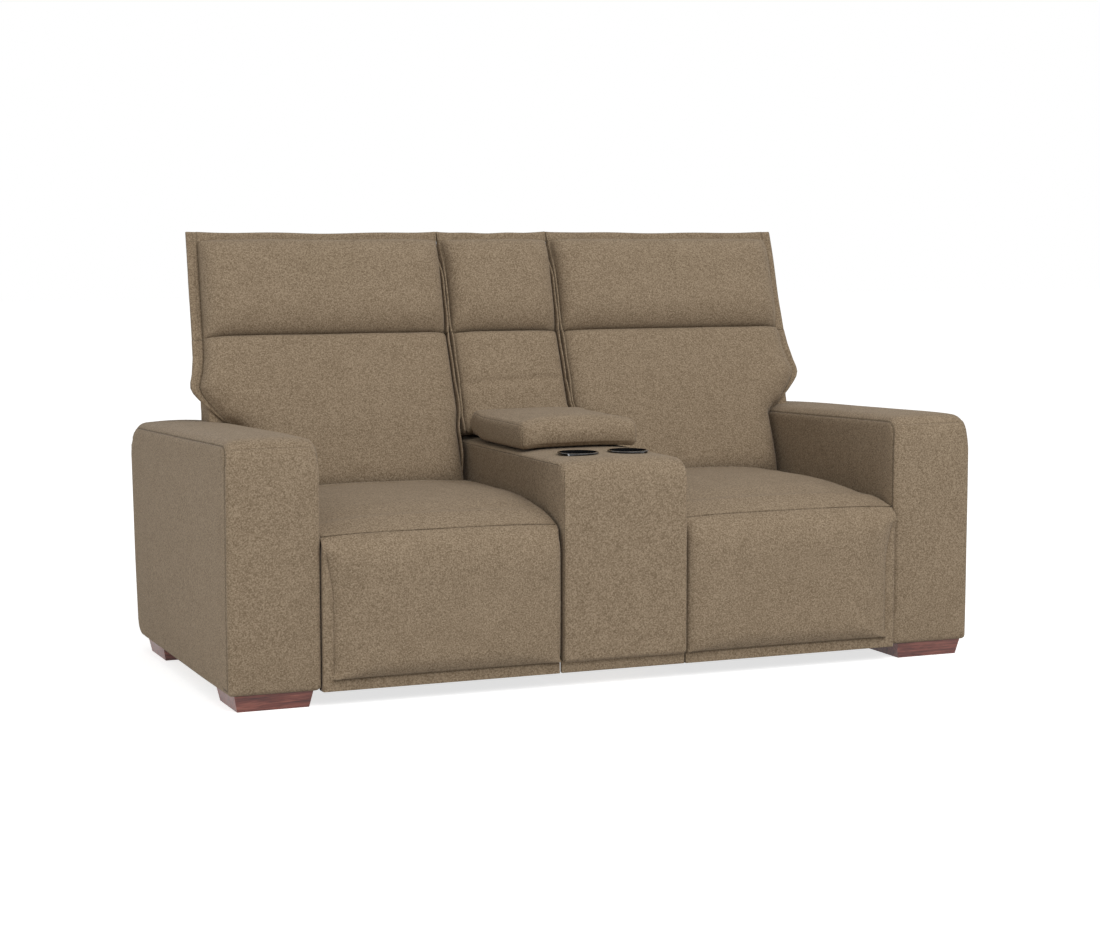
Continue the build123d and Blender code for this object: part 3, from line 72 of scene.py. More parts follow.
# The middle back stays behind this where the opened lid stands.
LID_ROOM = 631
BACK_ROOT, BACK_LEAN = (620, 431), math.radians(22)
HEAD_LEAN, SEAM_UP, SEAM_LOW = math.radians(15.7), 417, 22
HEAD_ROOT = (
    BACK_ROOT[0] + SEAM_UP * math.sin(BACK_LEAN),
    BACK_ROOT[1] + SEAM_UP * math.cos(BACK_LEAN),
)
HINGE_OUT, HINGE_BEND, HINGE_LEAN = 12, (-45, 45), (BACK_LEAN + HEAD_LEAN) / 2
EASE = math.tan((BACK_LEAN - HEAD_LEAN) / 2)
BACK_IN, BACK_IN_HIGH, LEFT_SHIFT, EDGE_GAP = 172, 152, 12, 1.4
# Heights up the lower back between which its inner edge steps in.
STEP_IN = (125, 195)
FLANGE_WIDE, HEAD_OUT, HEAD_HIGH, PILLOW_REACH = 28, 844, 262, 78
# Up the lower back and across: its outer edge, and the width of the flat sewn edge there.
OUTER_EDGE = (
    (-28, 746), (146, 746), (155, 753), (165, 761), (172, 771), (176, 780), (181, 787), (200, 806),
    (220, 827), (240, 845), (256, 857), (270, 862),
    (284, 861), (306, 855), (350, 848), (417, 844),
)
EDGE_WIDE = ((-28, 5), (180, 5), (200, 9), (230, 14), (256, 20), (280, 25), (330, 28), (417, 28))
# Side view of the cloth lining under the wing, and its outer side.
LINING, SIDE_OUT = [(708, 652), (790, 691), (780, 584), (690, 587)], 822
SHELL_IN, SHELL_OUT = 167, 796
SHELL_LOW, SHELL_TOP, SEAM_REAR = (800, 325), (986, 1008), (921.4, 770.2)

WHITE, SKY_COLOUR, SKY_LEVEL = (1, 1, 1, 1), (1, 0.995, 0.985, 1), 0.54
FLOOR_GREY, FLOOR_LIFT, FLOOR_REACH = (0.68, 0.68, 0.68, 1), 0.72, 30
# Name, place in metres, width in metres, and watts.
LAMPS = (("key_light", (0.6, -4.2, 4.4), 5.0, 190), ("side_light", (-4.2, -0.9, 0.4), 1.2, 26))
LAMP_AIM = (0, 0, 0.5)
CAMERA_PLACE, CAMERA_ANGLES = (-2.2557, -5.3849, 1.0721), (-22.85, 5.98)
CAMERA_LENS, CAMERA_SENSOR = 74.96, 36


def rear_line(up):
    """How far back the sofa's leaning rear is at a height."""
    return SHELL_LOW[0] + (up - SHELL_LOW[1]) * (SHELL_TOP[0] - SHELL_LOW[0]) / (SHELL_TOP[1] - SHELL_LOW[1])


def points_of(mesh):
    found = np.empty(len(mesh.vertices) * 3)
    mesh.vertices.foreach_get("co", found)
    return found.reshape(-1, 3)


def normals_of(mesh):
    found = np.empty(len(mesh.vertices) * 3)
    mesh.vertices.foreach_get("normal", found)
    return found.reshape(-1, 3)


def move_points(mesh, places):
    mesh.vertices.foreach_set("co", places.ravel())
    mesh.update()


def smooth_step(low, high, value):
    share = np.clip((value - low) / (high - low), 0, 1)
    return share * share * (3 - 2 * share)


def relax(mesh, rounds):
    """Even out a mesh by drawing each point half way towards its neighbours."""
    places = points_of(mesh)
    edges = np.empty(len(mesh.edges) * 2, int)
    mesh.edges.foreach_get("vertices", edges)
    ends = edges.reshape(-1, 2)
    count = len(places)
    degree = np.bincount(edges, minlength=count)[:, None].clip(1)
    for _ in range(rounds):
        total = np.empty_like(places)
        for axis in range(3):
            total[:, axis] = np.bincount(ends[:, 0], places[ends[:, 1], axis], count)
            total[:, axis] += np.bincount(ends[:, 1], places[ends[:, 0], axis], count)
        places = places + (total / degree - places) * 0.5
    move_points(mesh, places)


def applied(piece):
    """The piece's mesh with its modifiers applied; the piece itself is removed."""
    graph = bpy.context.evaluated_depsgraph_get()
    mesh = bpy.data.meshes.new_from_object(piece.evaluated_get(graph))
    bpy.data.objects.remove(piece)
    return mesh


def working_copy(mesh):
    piece = bpy.data.objects.new("working_copy", mesh)
    scene.collection.objects.link(piece)
    return piece


def evened(mesh, voxel):
    """The mesh's outside, made anew of small even squares."""
    piece = working_copy(mesh)
    even = piece.modifiers.new("even skin", "REMESH")
    even.mode = "VOXEL"
    even.voxel_size = voxel * MM
    return applied(piece)


def even_skin(node, voxel):
    mesh = frame["nodes"][node].data.copy()
    mesh.materials.clear()
    return evened(mesh, voxel)


def swollen(mesh, held, limit):
    """Puff a pad as cloth under pressure. Held points stay, others move up to limit."""
    start = points_of(mesh)
    piece = working_copy(mesh)
    group = piece.vertex_groups.new(name="held")
    group.add([int(i) for i in np.flatnonzero(held)], 1.0, "REPLACE")
    cloth = piece.modifiers.new("puff", "CLOTH")
    cover = cloth.settings
    cover.quality = 4
    cover.mass = 0.3
    cover.tension_stiffness = 18
    cover.compression_stiffness = 18
    cover.bending_stiffness = 0.6
    cover.use_pressure = True
    cover.uniform_pressure_force = 4
    cover.effector_weights.gravity = 0
    cover.vertex_group_mass = "held"
    cloth.collision_settings.use_collision = False
    for step in range(1, 21):
        scene.frame_set(step)
    graph = bpy.context.evaluated_depsgraph_get()
    end = points_of(piece.evaluated_get(graph).to_mesh())
    scene.frame_set(1)
    bpy.data.objects.remove(piece)
    move = end - start
    length = np.linalg.norm(move, axis=1)[:, None].clip(1e-9)
    capped = limit * MM * np.tanh(length / (limit * MM))
    move_points(mesh, start + move / length * capped)
    return mesh


def slow_waves(places, length, seed):
    """Smooth noise from -1 to 1 with about the given length, in metres."""
    shift = Vector((seed * 7.3, seed * 3.1, seed * 5.7))
    return np.array([noise.noise(Vector(p) / length + shift) for p in places])


def ripple(mesh, height, length, seed, where=None):
    """Raise and lower the surface in slow waves."""
    places, out = points_of(mesh), normals_of(mesh)
    lift = slow_waves(places, length * MM, seed) * height * MM
    if where is not None:
        lift = lift * where
    move_points(mesh, places + out * lift[:, None])


def mirrored(mesh):
    twin = mesh.copy()
    places = points_of(twin)
    places[:, 0] *= -1
    move_points(twin, places)
    twin.flip_normals()
    return twin


def fresh(places, faces, seam=None):
    """A mesh from places in mm, its faces turned outwards and its seam marks stored, which the cloth darkens as
    painted shade.
    """
    mesh = bpy.data.meshes.new("cover")
    places = (np.asarray(places, float) + (0, FRONT_PLANE, 0)) * MM
    mesh.from_pydata(places.tolist(), [], faces)
    work = bmesh.new()
    work.from_mesh(mesh)
    bmesh.ops.recalc_face_normals(work, faces=work.faces)
    work.to_mesh(mesh)
    work.free()
    if seam is not None:
        mark = mesh.attributes.new("seam", "FLOAT", "POINT")
        mark.data.foreach_set("value", np.asarray(seam, np.float32))
    return mesh


def skin(loops, seam=None):
    """A closed skin through a row of loops. Each loop runs out along the face and home along the rear,
    and the first and last loops are drawn together and sewn shut."""
    loops = np.asarray(loops, float)
    count, around = loops.shape[:2]
    half = around // 2
    order = np.arange(around)
    rings = [order + row * around for row in range(count)]
    places = list(loops.reshape(-1, 3))
    for end in (0, -1):
        ring = len(places) + np.minimum(order, around - 1 - order)
        places += list((loops[end, :half] + loops[end, ::-1][:half]) / 2)
        rings = [ring] + rings if end == 0 else rings + [ring]
    faces = []
    for low, high in zip(rings[:-1], rings[1:]):
        for k in range(around):
            j = (k + 1) % around
            faces.append(list(dict.fromkeys(int(i) for i in (low[k], low[j], high[j], high[k]))))
    if seam is not None:
        seam = np.concatenate([np.ravel(seam), np.zeros(len(places) - count * around)])
    return fresh(places, faces, seam)


def prism(near_end, far_end):
    """A block between two outlines of as many points."""
    count = len(near_end)
    faces = [list(range(count)), list(range(count, 2 * count))]
    faces += [[k, (k + 1) % count, count + (k + 1) % count, count + k] for k in range(count)]
    return fresh(near_end + far_end, faces)


def spaced(low, high, step, near):
    """Places from low to high, closer together near both ends."""
    near = np.asarray(near, float)
    count = max(2, round((high - low - 2 * near[-1]) / step) + 1)
    middle = np.linspace(low + near[-1], high - near[-1], count)
    return np.concatenate([low + near[:-1], middle, (high - near[:-1])[::-1]])


def side_view(back, up, low, high, radii, inset):
    """Distance of points from a block's side view, which has its own radius at each corner."""
    front_top, rear_top, front_low, rear_low = radii
    from_middle = back - (low[1] + high[1]) / 2
    above_middle = up - (low[2] + high[2]) / 2
    radius = np.where(
        above_middle > 0,
        np.where(from_middle < 0, front_top, rear_top),
        np.where(from_middle < 0, front_low, rear_low),
    )
    radius = np.maximum(radius - inset, 0)
    across = np.abs(from_middle) - (high[1] - low[1]) / 2 + inset + radius
    above = np.abs(above_middle) - (high[2] - low[2]) / 2 + inset + radius
    outside = np.hypot(np.maximum(across, 0), np.maximum(above, 0))
    return np.minimum(np.maximum(across, above), 0) + outside - radius


def boxed(low, high, radii, edge, near, step, seam_shade):
    """A firm upholstered block, rounded by radii in side view and by edge along its two sides.
    Its last argument tells, from the places and whether each lies on a side, how dark each point is painted as
    shade along seams."""
    lines = [spaced(low[axis], high[axis], step, near) for axis in range(3)]
    last = [len(line) - 1 for line in lines]
    index, places, faces = {}, [], []

    def corner(*spot):
        if spot not in index:
            index[spot] = len(places)
            places.append([lines[axis][spot[axis]] for axis in range(3)])
        return index[spot]

    for axis in range(3):
        one, two = (axis + 1) % 3, (axis + 2) % 3
        for end in (0, last[axis]):
            for i in range(last[one]):
                for j in range(last[two]):
                    face = []
                    for di, dj in ((0, 0), (1, 0), (1, 1), (0, 1)):
                        spot = [0, 0, 0]
                        spot[axis], spot[one], spot[two] = end, i + di, j + dj
                        face.append(corner(*spot))
                    faces.append(face)
    places = np.array(places)
    on_side = (places[:, 0] <= low[0]) | (places[:, 0] >= high[0])
    # These marks become painted shade along the seams, and on some blocks press the seams in as well.
    seam = seam_shade(places, on_side).astype(float)
    middle, half = (low[0] + high[0]) / 2, (high[0] - low[0]) / 2
    edge = edge(places) if callable(edge) else edge

    def distance(p):
        section = side_view(p[:, 1], p[:, 2], low, high, radii, edge)
        aside = np.abs(p[:, 0] - middle) - half + edge
        outside = np.hypot(np.maximum(section, 0), np.maximum(aside, 0))
        return np.minimum(np.maximum(section, aside), 0) + outside - edge

    for _ in range(4):
        moves = np.eye(3) * 0.01
        slope = np.stack([(distance(places + move) - distance(places - move)) / 0.02 for move in moves], axis=1)
        places = places - slope * distance(places)[:, None]
    return places, faces, seam


def block_share(places, low, high):
    """Places as shares of a block's half sizes from its middle."""
    middle, half = np.add(low, high) / 2, np.subtract(high, low) / 2
    return np.abs((places - middle) / half)


def arc(start, middle, end, count):
    """Points along the circle through three points."""
    (ax, ay), (bx, by), (cx, cy) = start, middle, end
    twice = 2 * (ax * (by - cy) + bx * (cy - ay) + cx * (ay - by))
    a, b, c = ax * ax + ay * ay, bx * bx + by * by, cx * cx + cy * cy
    x = (a * (by - cy) + b * (cy - ay) + c * (ay - by)) / twice
    y = (a * (cx - bx) + b * (ax - cx) + c * (bx - ax)) / twice
    first = math.atan2(ay - y, ax - x)
    turn = (math.atan2(cy - y, cx - x) - first + math.pi) % (2 * math.pi) - math.pi
    angles = first + turn * np.linspace(0, 1, count)
    radius = math.hypot(ax - x, ay - y)
    return np.stack([x + radius * np.cos(angles), y + radius * np.sin(angles)], axis=1)


def fullness(inward, reach, power):
    """Share of a pillow's height at a distance in from its crease."""
    part = np.clip(np.asarray(inward, float) / reach, 0, 1)
    return (1 - (1 - part) ** 2) ** (1 / power)


def lean(v, n, root, angle):
    """Back and up of a point v up a leaning plane and n in front of it."""
    return (
        root[0] + v * math.sin(angle) - n * math.cos(angle),
        root[1] + v * math.cos(angle) + n * math.sin(angle),
    )


def show(name, mesh, body, nodes, bend=None):
    """Put a finished mesh in the scene, on its body, or, when given a bend, fixed in place on no body."""
    mesh.materials.clear()
    mesh.materials.append(BROWN_CLOTH)
    mesh.shade_smooth()
    piece = bpy.data.objects.new(name, mesh)
    scene.collection.objects.link(piece)
    if bend is None:
        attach(piece, body)
    else:
        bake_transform(piece)
    if nodes:
        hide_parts(*nodes)
    return piece


def lean_places(places, root, angle):
    """Height up a leaning plane and distance in front of it, in mm."""
    back = places[:, 1] / MM - FRONT_PLANE - root[0]
    up = places[:, 2] / MM - root[1]
    return back * math.sin(angle) + up * math.cos(angle), up * math.sin(angle) - back * math.cos(angle)


def fill(tree, node, *values, **named):
    """Fill a node's sockets, by name or in order, each from a value or from another node's output.
    A name that isn't a socket's is a setting of the node."""
    for key, value in named.items():
        label = key.replace("_", " ")
        if label in node.inputs:
            feed(tree, node.inputs[label], value)
        else:
            setattr(node, key, value)
    for socket, value in zip(node.inputs, values):
        feed(tree, socket, value)
    return node


def feed(tree, socket, value):
    if isinstance(value, bpy.types.NodeSocket):
        tree.links.new(value, socket)
    else:
        socket.default_value = value


def add(tree, kind, place, *values, **named):
    node = tree.nodes.new(kind)
    node.location = place
    return fill(tree, node, *values, **named)


def sums(tree, place, operation, *values):
    return add(tree, "ShaderNodeMath", place, *values, operation=operation).outputs[0]


def mixed(tree, place, share, one, two, blend_type="MIX"):
    """A mix of two colours."""
    node = add(tree, "ShaderNodeMix", place, share, data_type="RGBA", blend_type=blend_type)
    tree.links.new(one, node.inputs[6])
    tree.links.new(two, node.inputs[7])
    return node.outputs[2]


def ramp(tree, place, value, stops):
    node = add(tree, "ShaderNodeValToRGB", place, value)
    marks = node.color_ramp.elements
    while len(marks) < len(stops):
        marks.new(0.5)
    for mark, (spot, colour) in zip(marks, stops):
        mark.position = spot
        mark.color = (*colour, 1)
    return node.outputs[0]


def group(name, inputs, outputs):
    tree = bpy.data.node_groups.new(name, "ShaderNodeTree")
    for label, kind, value in inputs:
        socket = tree.interface.new_socket(label, in_out="INPUT", socket_type=kind)
        socket.default_value = value
    for label, kind in outputs:
        tree.interface.new_socket(label, in_out="OUTPUT", socket_type=kind)
    start = add(tree, "NodeGroupInput", (-900, 0))
    end = add(tree, "NodeGroupOutput", (700, 0))
    return tree, start.outputs, end


def flecked_cloth():
    """Short fibres in three tones, with slow patches of lighter and darker nap."""
    tree, start, end = group(
        "flecked_cloth",
        [
            ("Fibre Size", "NodeSocketFloat", 240.0),
            ("Dark", "NodeSocketColor", (0.1, 0.07, 0.045, 1)),
            ("Middle", "NodeSocketColor", (0.2, 0.15, 0.1, 1)),
            ("Light", "NodeSocketColor", (0.36, 0.29, 0.2, 1)),
        ],
        [("Color", "NodeSocketColor"), ("Height", "NodeSocketFloat")],
    )
    where = add(tree, "ShaderNodeTexCoord", (-900, -260)).outputs["Object"]
    size = start["Fibre Size"]
    finer = sums(tree, (-800, -60), "MULTIPLY", size, 1.1)
    fibres = add(tree, "ShaderNodeTexNoise", (-640, 120), Vector=where, Scale=size, Detail=2.0, Roughness=0.6)
    tufts = add(tree, "ShaderNodeTexVoronoi", (-640, -140), Vector=where, Scale=finer)
    nap = add(tree, "ShaderNodeTexNoise", (-640, -420), Vector=where, Scale=22.0, Detail=2.0)
    grain = add(tree, "ShaderNodeSeparateColor", (-520, -140), tufts.outputs["Color"])
    both = sums(tree, (-400, 0), "MULTIPLY_ADD", grain.outputs[0], 0.2, fibres.outputs["Fac"])
    patches = sums(tree, (-220, -120), "MULTIPLY_ADD", nap.outputs["Fac"], 0.12, both)
    low = add(tree, "ShaderNodeMapRange", (0, 160), Value=patches, From_Min=0.42, From_Max=0.64)
    high = add(tree, "ShaderNodeMapRange", (0, -120), Value=patches, From_Min=0.64, From_Max=0.86)
    warm = mixed(tree, (220, 160), low.outputs["Result"], start["Dark"], start["Middle"])
    pale = mixed(tree, (440, 60), high.outputs["Result"], warm, start["Light"])
    fill(tree, end, Color=pale, Height=both)
    return tree


def speckle():
    """Fine uneven marks for paint, moulded plastic and board."""
    tree, start, end = group(
        "speckle",
        [
            ("Size", "NodeSocketFloat", 300.0),
            ("Low", "NodeSocketFloat", 0.3),
            ("High", "NodeSocketFloat", 0.6),
        ],
        [("Roughness", "NodeSocketFloat"), ("Height", "NodeSocketFloat"), ("Patch", "NodeSocketFloat")],
    )
    where = add(tree, "ShaderNodeTexCoord", (-900, -260)).outputs["Object"]
    fine = add(tree, "ShaderNodeTexNoise", (-560, 100), Vector=where, Scale=start["Size"], Detail=4.0)
    broad = add(tree, "ShaderNodeTexNoise", (-560, -200), Vector=where, Scale=14.0, Detail=3.0)
    spread = add(
        tree, "ShaderNodeMapRange", (0, 0), Value=broad.outputs["Fac"], From_Min=0.3, From_Max=0.7,
        To_Min=start["Low"], To_Max=start["High"],
    )
    fill(
        tree, end, Roughness=spread.outputs["Result"], Height=fine.outputs["Fac"], Patch=broad.outputs["Fac"],
    )
    return tree


CLOTH = flecked_cloth()
SPECKLE = speckle()


def blank_material(name):
    made = bpy.data.materials.new(name)
    made.use_nodes = True
    made.node_tree.nodes.clear()
    return made, made.node_tree


def material(name):
    made, tree = blank_material(name)
    surface = add(tree, "ShaderNodeBsdfPrincipled", (380, 0))
    add(tree, "ShaderNodeOutputMaterial", (700, 0), surface.outputs[0])
    return made, tree, surface


def place_group(tree, which, place, **values):
    return add(tree, "ShaderNodeGroup", place, node_tree=which, **values).outputs


def bumped(tree, surface, height, deep, strength):
    bump = add(tree, "ShaderNodeBump", (160, -300), Distance=deep * MM, Strength=strength, Height=height)
    fill(tree, surface, Normal=bump.outputs[0])


def upholstery():
    """Brown flecked cloth, painted darker along its seams and creases as painted shade."""
    made, tree, surface = material("brown_flecked_cloth")
    cloth = place_group(
        tree, CLOTH, (-500, 100), Fibre_Size=300.0,
        Dark=(0.161, 0.116, 0.072, 1), Middle=(0.247, 0.185, 0.122, 1), Light=(0.345, 0.268, 0.184, 1),
    )
    # The seam attribute darkens the cloth by up to 58% along seams and creases: painted shade in their grooves.
    seam = add(tree, "ShaderNodeAttribute", (-500, -160), attribute_name="seam")
    shade = add(tree, "ShaderNodeMapRange", (-260, -160), Value=seam.outputs["Fac"], To_Min=1.0, To_Max=0.42)
    dark = mixed(tree, (60, 100), 1, cloth["Color"], shade.outputs["Result"], "MULTIPLY")
    fill(
        tree, surface, Base_Color=dark, Roughness=0.95, Specular_IOR_Level=0.15,
        Sheen_Weight=0.1, Sheen_Roughness=0.45, Sheen_Tint=(0.9, 0.88, 0.85, 1),
    )
    bumped(tree, surface, cloth["Height"], 1.4, 0.5)
    return made


def webbing_cloth():
    made, tree, surface = material("black_webbing")
    cloth = place_group(
        tree, CLOTH, (-500, 100), Fibre_Size=420.0,
        Dark=(0.012, 0.012, 0.012, 1), Middle=(0.03, 0.03, 0.03, 1), Light=(0.07, 0.07, 0.068, 1),
    )
    fill(tree, surface, Base_Color=cloth["Color"], Roughness=0.85)
    bumped(tree, surface, cloth["Height"], 0.6, 0.6)
    return made


def foot_wood():
    """Reddish stained wood, its grain running across the sofa."""
    made, tree, surface = material("red_brown_wood")
    where = add(tree, "ShaderNodeTexCoord", (-1100, 0)).outputs["Object"]
    stretch = add(tree, "ShaderNodeMapping", (-900, 0), Vector=where, Scale=(2.2, 30.0, 30.0)).outputs[0]
    pores = add(tree, "ShaderNodeMapping", (-900, -320), Vector=where, Scale=(14.0, 240.0, 240.0)).outputs[0]
    grain = add(tree, "ShaderNodeTexNoise", (-680, 0), Vector=stretch, Scale=3.0, Detail=5.0, Distortion=1.2)
    fine = add(tree, "ShaderNodeTexNoise", (-680, -320), Vector=pores, Scale=3.0, Detail=2.0)
    tones = ramp(tree, (-440, 0), grain.outputs["Fac"], [
        (0.30, (0.060, 0.015, 0.012)), (0.46, (0.150, 0.040, 0.030)),
        (0.58, (0.215, 0.066, 0.048)), (0.74, (0.280, 0.100, 0.072)),
    ])
    streak = ramp(tree, (-440, -320), fine.outputs["Fac"], [(0.36, (0.45, 0.42, 0.40)), (0.52, (1, 1, 1))])
    stained = mixed(tree, (-140, 0), 0.75, tones, streak, "MULTIPLY")
    uneven = place_group(tree, SPECKLE, (-140, -260), Size=160.0, Low=0.34, High=0.5)
    fill(
        tree, surface, Base_Color=stained, Roughness=uneven["Roughness"], Coat_Weight=0.15, Coat_Roughness=0.3,
    )
    bumped(tree, surface, fine.outputs["Fac"], 0.25, 0.4)
    return made


def hard_finish(name, dark, pale, gloss, size, deep, metal=0.0, coat=0.0):
    """A paint, plastic or metal with uneven gloss and a fine grain."""
    made, tree, surface = material(name)
    uneven = place_group(tree, SPECKLE, (-500, 0), Size=size, Low=gloss[0], High=gloss[1])
    colour = ramp(tree, (-220, 120), uneven["Patch"], [(0.3, dark), (0.7, pale)])
    fill(
        tree, surface, Base_Color=colour, Roughness=uneven["Roughness"], Metallic=metal, Coat_Weight=coat,
    )
    bumped(tree, surface, uneven["Height"], deep, 0.4)
    return made


def board_wood():
    made, tree, surface = material("pale_board")
    where = add(tree, "ShaderNodeTexCoord", (-900, 0)).outputs["Object"]
    stretch = add(tree, "ShaderNodeMapping", (-700, 0), Vector=where, Scale=(60.0, 4.0, 60.0)).outputs[0]
    grain = add(tree, "ShaderNodeTexNoise", (-500, 0), Vector=stretch, Scale=2.0, Detail=5.0, Distortion=0.6)
    tones = ramp(tree, (-260, 0), grain.outputs["Fac"], [
        (0.3, (0.36, 0.23, 0.12)), (0.55, (0.52, 0.37, 0.21)), (0.75, (0.62, 0.47, 0.29)),
    ])
    uneven = place_group(tree, SPECKLE, (-260, -260), Size=200.0, Low=0.6, High=0.8)
    fill(tree, surface, Base_Color=tones, Roughness=uneven["Roughness"])
    bumped(tree, surface, grain.outputs["Fac"], 0.3, 0.4)
    return made


BROWN_CLOTH = upholstery()
FINISHES = {
    "upholstery": BROWN_CLOTH,
    "foot_wood": foot_wood(),
    "board": board_wood(),
    "black_steel": hard_finish(
        "black_painted_steel", (0.012, 0.012, 0.013), (0.028, 0.028, 0.03), (0.35, 0.55), 700.0, 0.15),
    "bolt_steel": hard_finish(
        "zinc_plated_steel", (0.42, 0.42, 0.43), (0.6, 0.6, 0.6), (0.25, 0.45), 900.0, 0.05, metal=1.0),
    "rod_steel": hard_finish(
        "bright_rod_steel", (0.5, 0.5, 0.51), (0.66, 0.66, 0.66), (0.12, 0.28), 900.0, 0.03, metal=1.0),
    "cup_plastic": hard_finish(
        "gloss_black_plastic", (0.006, 0.006, 0.007), (0.012, 0.012, 0.013), (0.08, 0.2),
        500.0, 0.03, coat=0.4),
    "black_plastic": hard_finish(
        "matt_black_plastic", (0.016, 0.016, 0.016), (0.03, 0.03, 0.03), (0.45, 0.65), 900.0, 0.2),
    "webbing": webbing_cloth(),
}
for row in frame["record"]["subparts"]:
    node = frame["nodes"][row["node"]]
    node.data.materials.clear()
    node.data.materials.append(FINISHES[row["material_slot"]])

SIDES = (("right", 1), ("left", -1))
PILLOW_NEAR = (2, 5, 9, 14, 21, 30, 42, 58)
EDGE_NEAR = (0, 3, 6.5, 10, 12, 14, 17.5, 22, 29, 40)
CRISP_NEAR = (0, 1.5, 3, 4.5, 6, 7.5, 10, 14, 20, 30)


def both_sides(name, mesh, body, node, dress, bend=None):
    """Show a right-hand mesh and its mirror image, each dressed on its own."""
    for side, sign in SIDES:
        own = mesh.copy()
        dress(own, sign)
        if sign < 0:
            own = mirrored(own)
        nodes = [node.format(side=side)] if node else []
        show(f"{side}_{name}", own, body.format(side=side), nodes, bend)


def standing_edge(tall, crease, sway, mark):
    """A sewn edge that stands forward: places in from the edge and out from the plane, with its seam marks,
    which paint shade into the crease.
    They go up its outer side, over its top and down to the crease."""
    knee = crease + 0.3 * (tall - crease)
    return [
        (0.6, 0, 0), (0, 0.35 * tall, 0), (sway, 0.8 * tall, 0), (sway + 0.5, tall - 1.2, 0),
        (sway + 2.4, tall, 0), (sway + 4.3, tall - 1.2, 0), (sway + 4.8, 0.8 * tall, 0),
        (5.6, knee, 0.4 * mark), (7, crease, mark),
    ]


def flat_edge(wide, thick, crease, lift):
    """A sewn edge that lies flat, from its outer side to the crease, in the same terms: its marks paint shade
    in a shallow topstitch groove and in the crease.
    """
    raised = thick + lift
    return [
        (0.6, 0, 0), (0, raised / 2, 0), (0.8, raised - 2, 0), (2.8, raised, 0), (0.3 * wide, raised, 0),
        (0.52 * wide, raised - 0.2, 0), (0.62 * wide, raised - 1.4, 0.25), (0.72 * wide, raised - 0.2, 0),
        (wide - 2.5, thick - 1, 0.2), (wide, crease, 0.6),
    ]


def outline_reach(across, v, outline):
    """Distance of points in from a sewn edge, given as points with the edge's width."""
    gaps = np.hypot(across[:, None] - outline[None, :, 0], v - outline[None, :, 1]) - outline[None, :, 2]
    return np.maximum(gaps.min(axis=1), 0)


def panel_loop(v, low, high, low_edge, high_edge, tall, place, count, inward=None, sag=None, mark=0):
    """One loop of a pillow between two sewn edges, and its seam marks, which paint shade along its creases."""
    low_edge, high_edge = np.array(low_edge), np.array(high_edge)
    first, last = low + low_edge[-1, 0], high - high_edge[-1, 0]
    near = np.array(PILLOW_NEAR)
    inner = np.concatenate([
        first + near[:-1], np.linspace(first + near[-1], last - near[-1], count), (last - near[:-1])[::-1],
    ])
    from_high = last - inner if inward is None else inward(inner, v)
    share = fullness(inner - first, PILLOW_REACH, 2.5) * fullness(from_high, PILLOW_REACH, 2.5)
    crease = low_edge[-1, 1] + (high_edge[-1, 1] - low_edge[-1, 1]) * (inner - first) / (last - first)
    across = np.concatenate([low + low_edge[:, 0], inner, (high - high_edge[:, 0])[::-1]])
    out = np.concatenate([low_edge[:, 1], crease + (tall - crease) * share, high_edge[::-1, 1]])
    marks = np.concatenate([low_edge[:, 2], np.zeros(len(inner)), high_edge[::-1, 2]])
    # mark paints shade along the whole loop, as in a seam groove.
    marks = np.maximum(marks, mark)
    across = np.concatenate([across, np.linspace(high - 0.6, low + 0.6, len(across))])
    out = np.concatenate([out, np.zeros(len(out))])
    height = np.full(len(across), float(v))
    if sag is not None:
        height -= sag((across - low) / (high - low), v)
    back, up = place(height, out)
    return np.stack([across, back, up], axis=1), np.concatenate([marks, np.zeros(len(marks))])


def panel(rows):
    loops, marks = zip(*rows)
    return skin(np.array(loops), np.array(marks))


def on_back(v, n):
    return lean(v, n, BACK_ROOT, BACK_LEAN)


def on_head(v, n):
    return lean(v, n, HEAD_ROOT, HEAD_LEAN)


def seam_eased(v, n):
    """Lower back places, its top drawn down a little where the headrest meets it."""
    top = SEAM_UP - SEAM_LOW
    return on_back(v - EASE * n * smooth_step(top - 14, top, v), n)


def head_eased(v, n):
    return on_head(v + EASE * n * (1 - smooth_step(-SEAM_LOW, 14 - SEAM_LOW, v)), n)


def sway_at(v, phase):
    return max(0.0, 1.6 + 1.5 * math.sin(v / 47 + phase) + 0.9 * math.sin(v / 19 + phase))


LOW_ROWS = np.concatenate([
    (-28, -25, -19, -10), np.arange(0, 141, 10),
    (146, 150, 155, 160, 165, 169, 172, 174, 176, 178.5, 181),
    np.arange(185, 291, 5), np.arange(297, 370, 9), (375, 381, 386, 389.5, 392, 393.4, 394.4),
])
HEAD_ROWS = np.concatenate([
    (-21.4, -20.4, -18.5, -15.5, -11.5, -7, -1, 6, 14, 24), np.arange(35, 200, 11),
    (208, 216, 223, 228, 231.5, 234, 236, 238, 241, 246, 252, 257, 260, 261.6),
])
HEAD_CREASE = 236


def low_tall(v):
    return 12 + 46 * fullness(v + 30, 70, 2.2) * fullness(404 - v, 36, 2.4)


def head_tall(v):
    if v > HEAD_CREASE:
        return 10.5 - 3 * smooth_step(257, HEAD_HIGH, v)
    return 10 + 66 * fullness(v + 22.5, 92, 2.0) * fullness(HEAD_CREASE - v, 70, 3) - 3 * (v == HEAD_CREASE)


def head_edge_tall(v):
    return 12 + 28 * (1 - smooth_step(120, 228, v)) - 3 * smooth_step(257, HEAD_HIGH, v)


def top_sag(share, v):
    """The top edge of a headrest hangs a little between its corners."""
    hang = 3.4 * (1 - (2 * share - 1) ** 2) + 0.9 * np.sin(share * 17)
    return hang * smooth_step(HEAD_CREASE - 16, HEAD_HIGH, v)


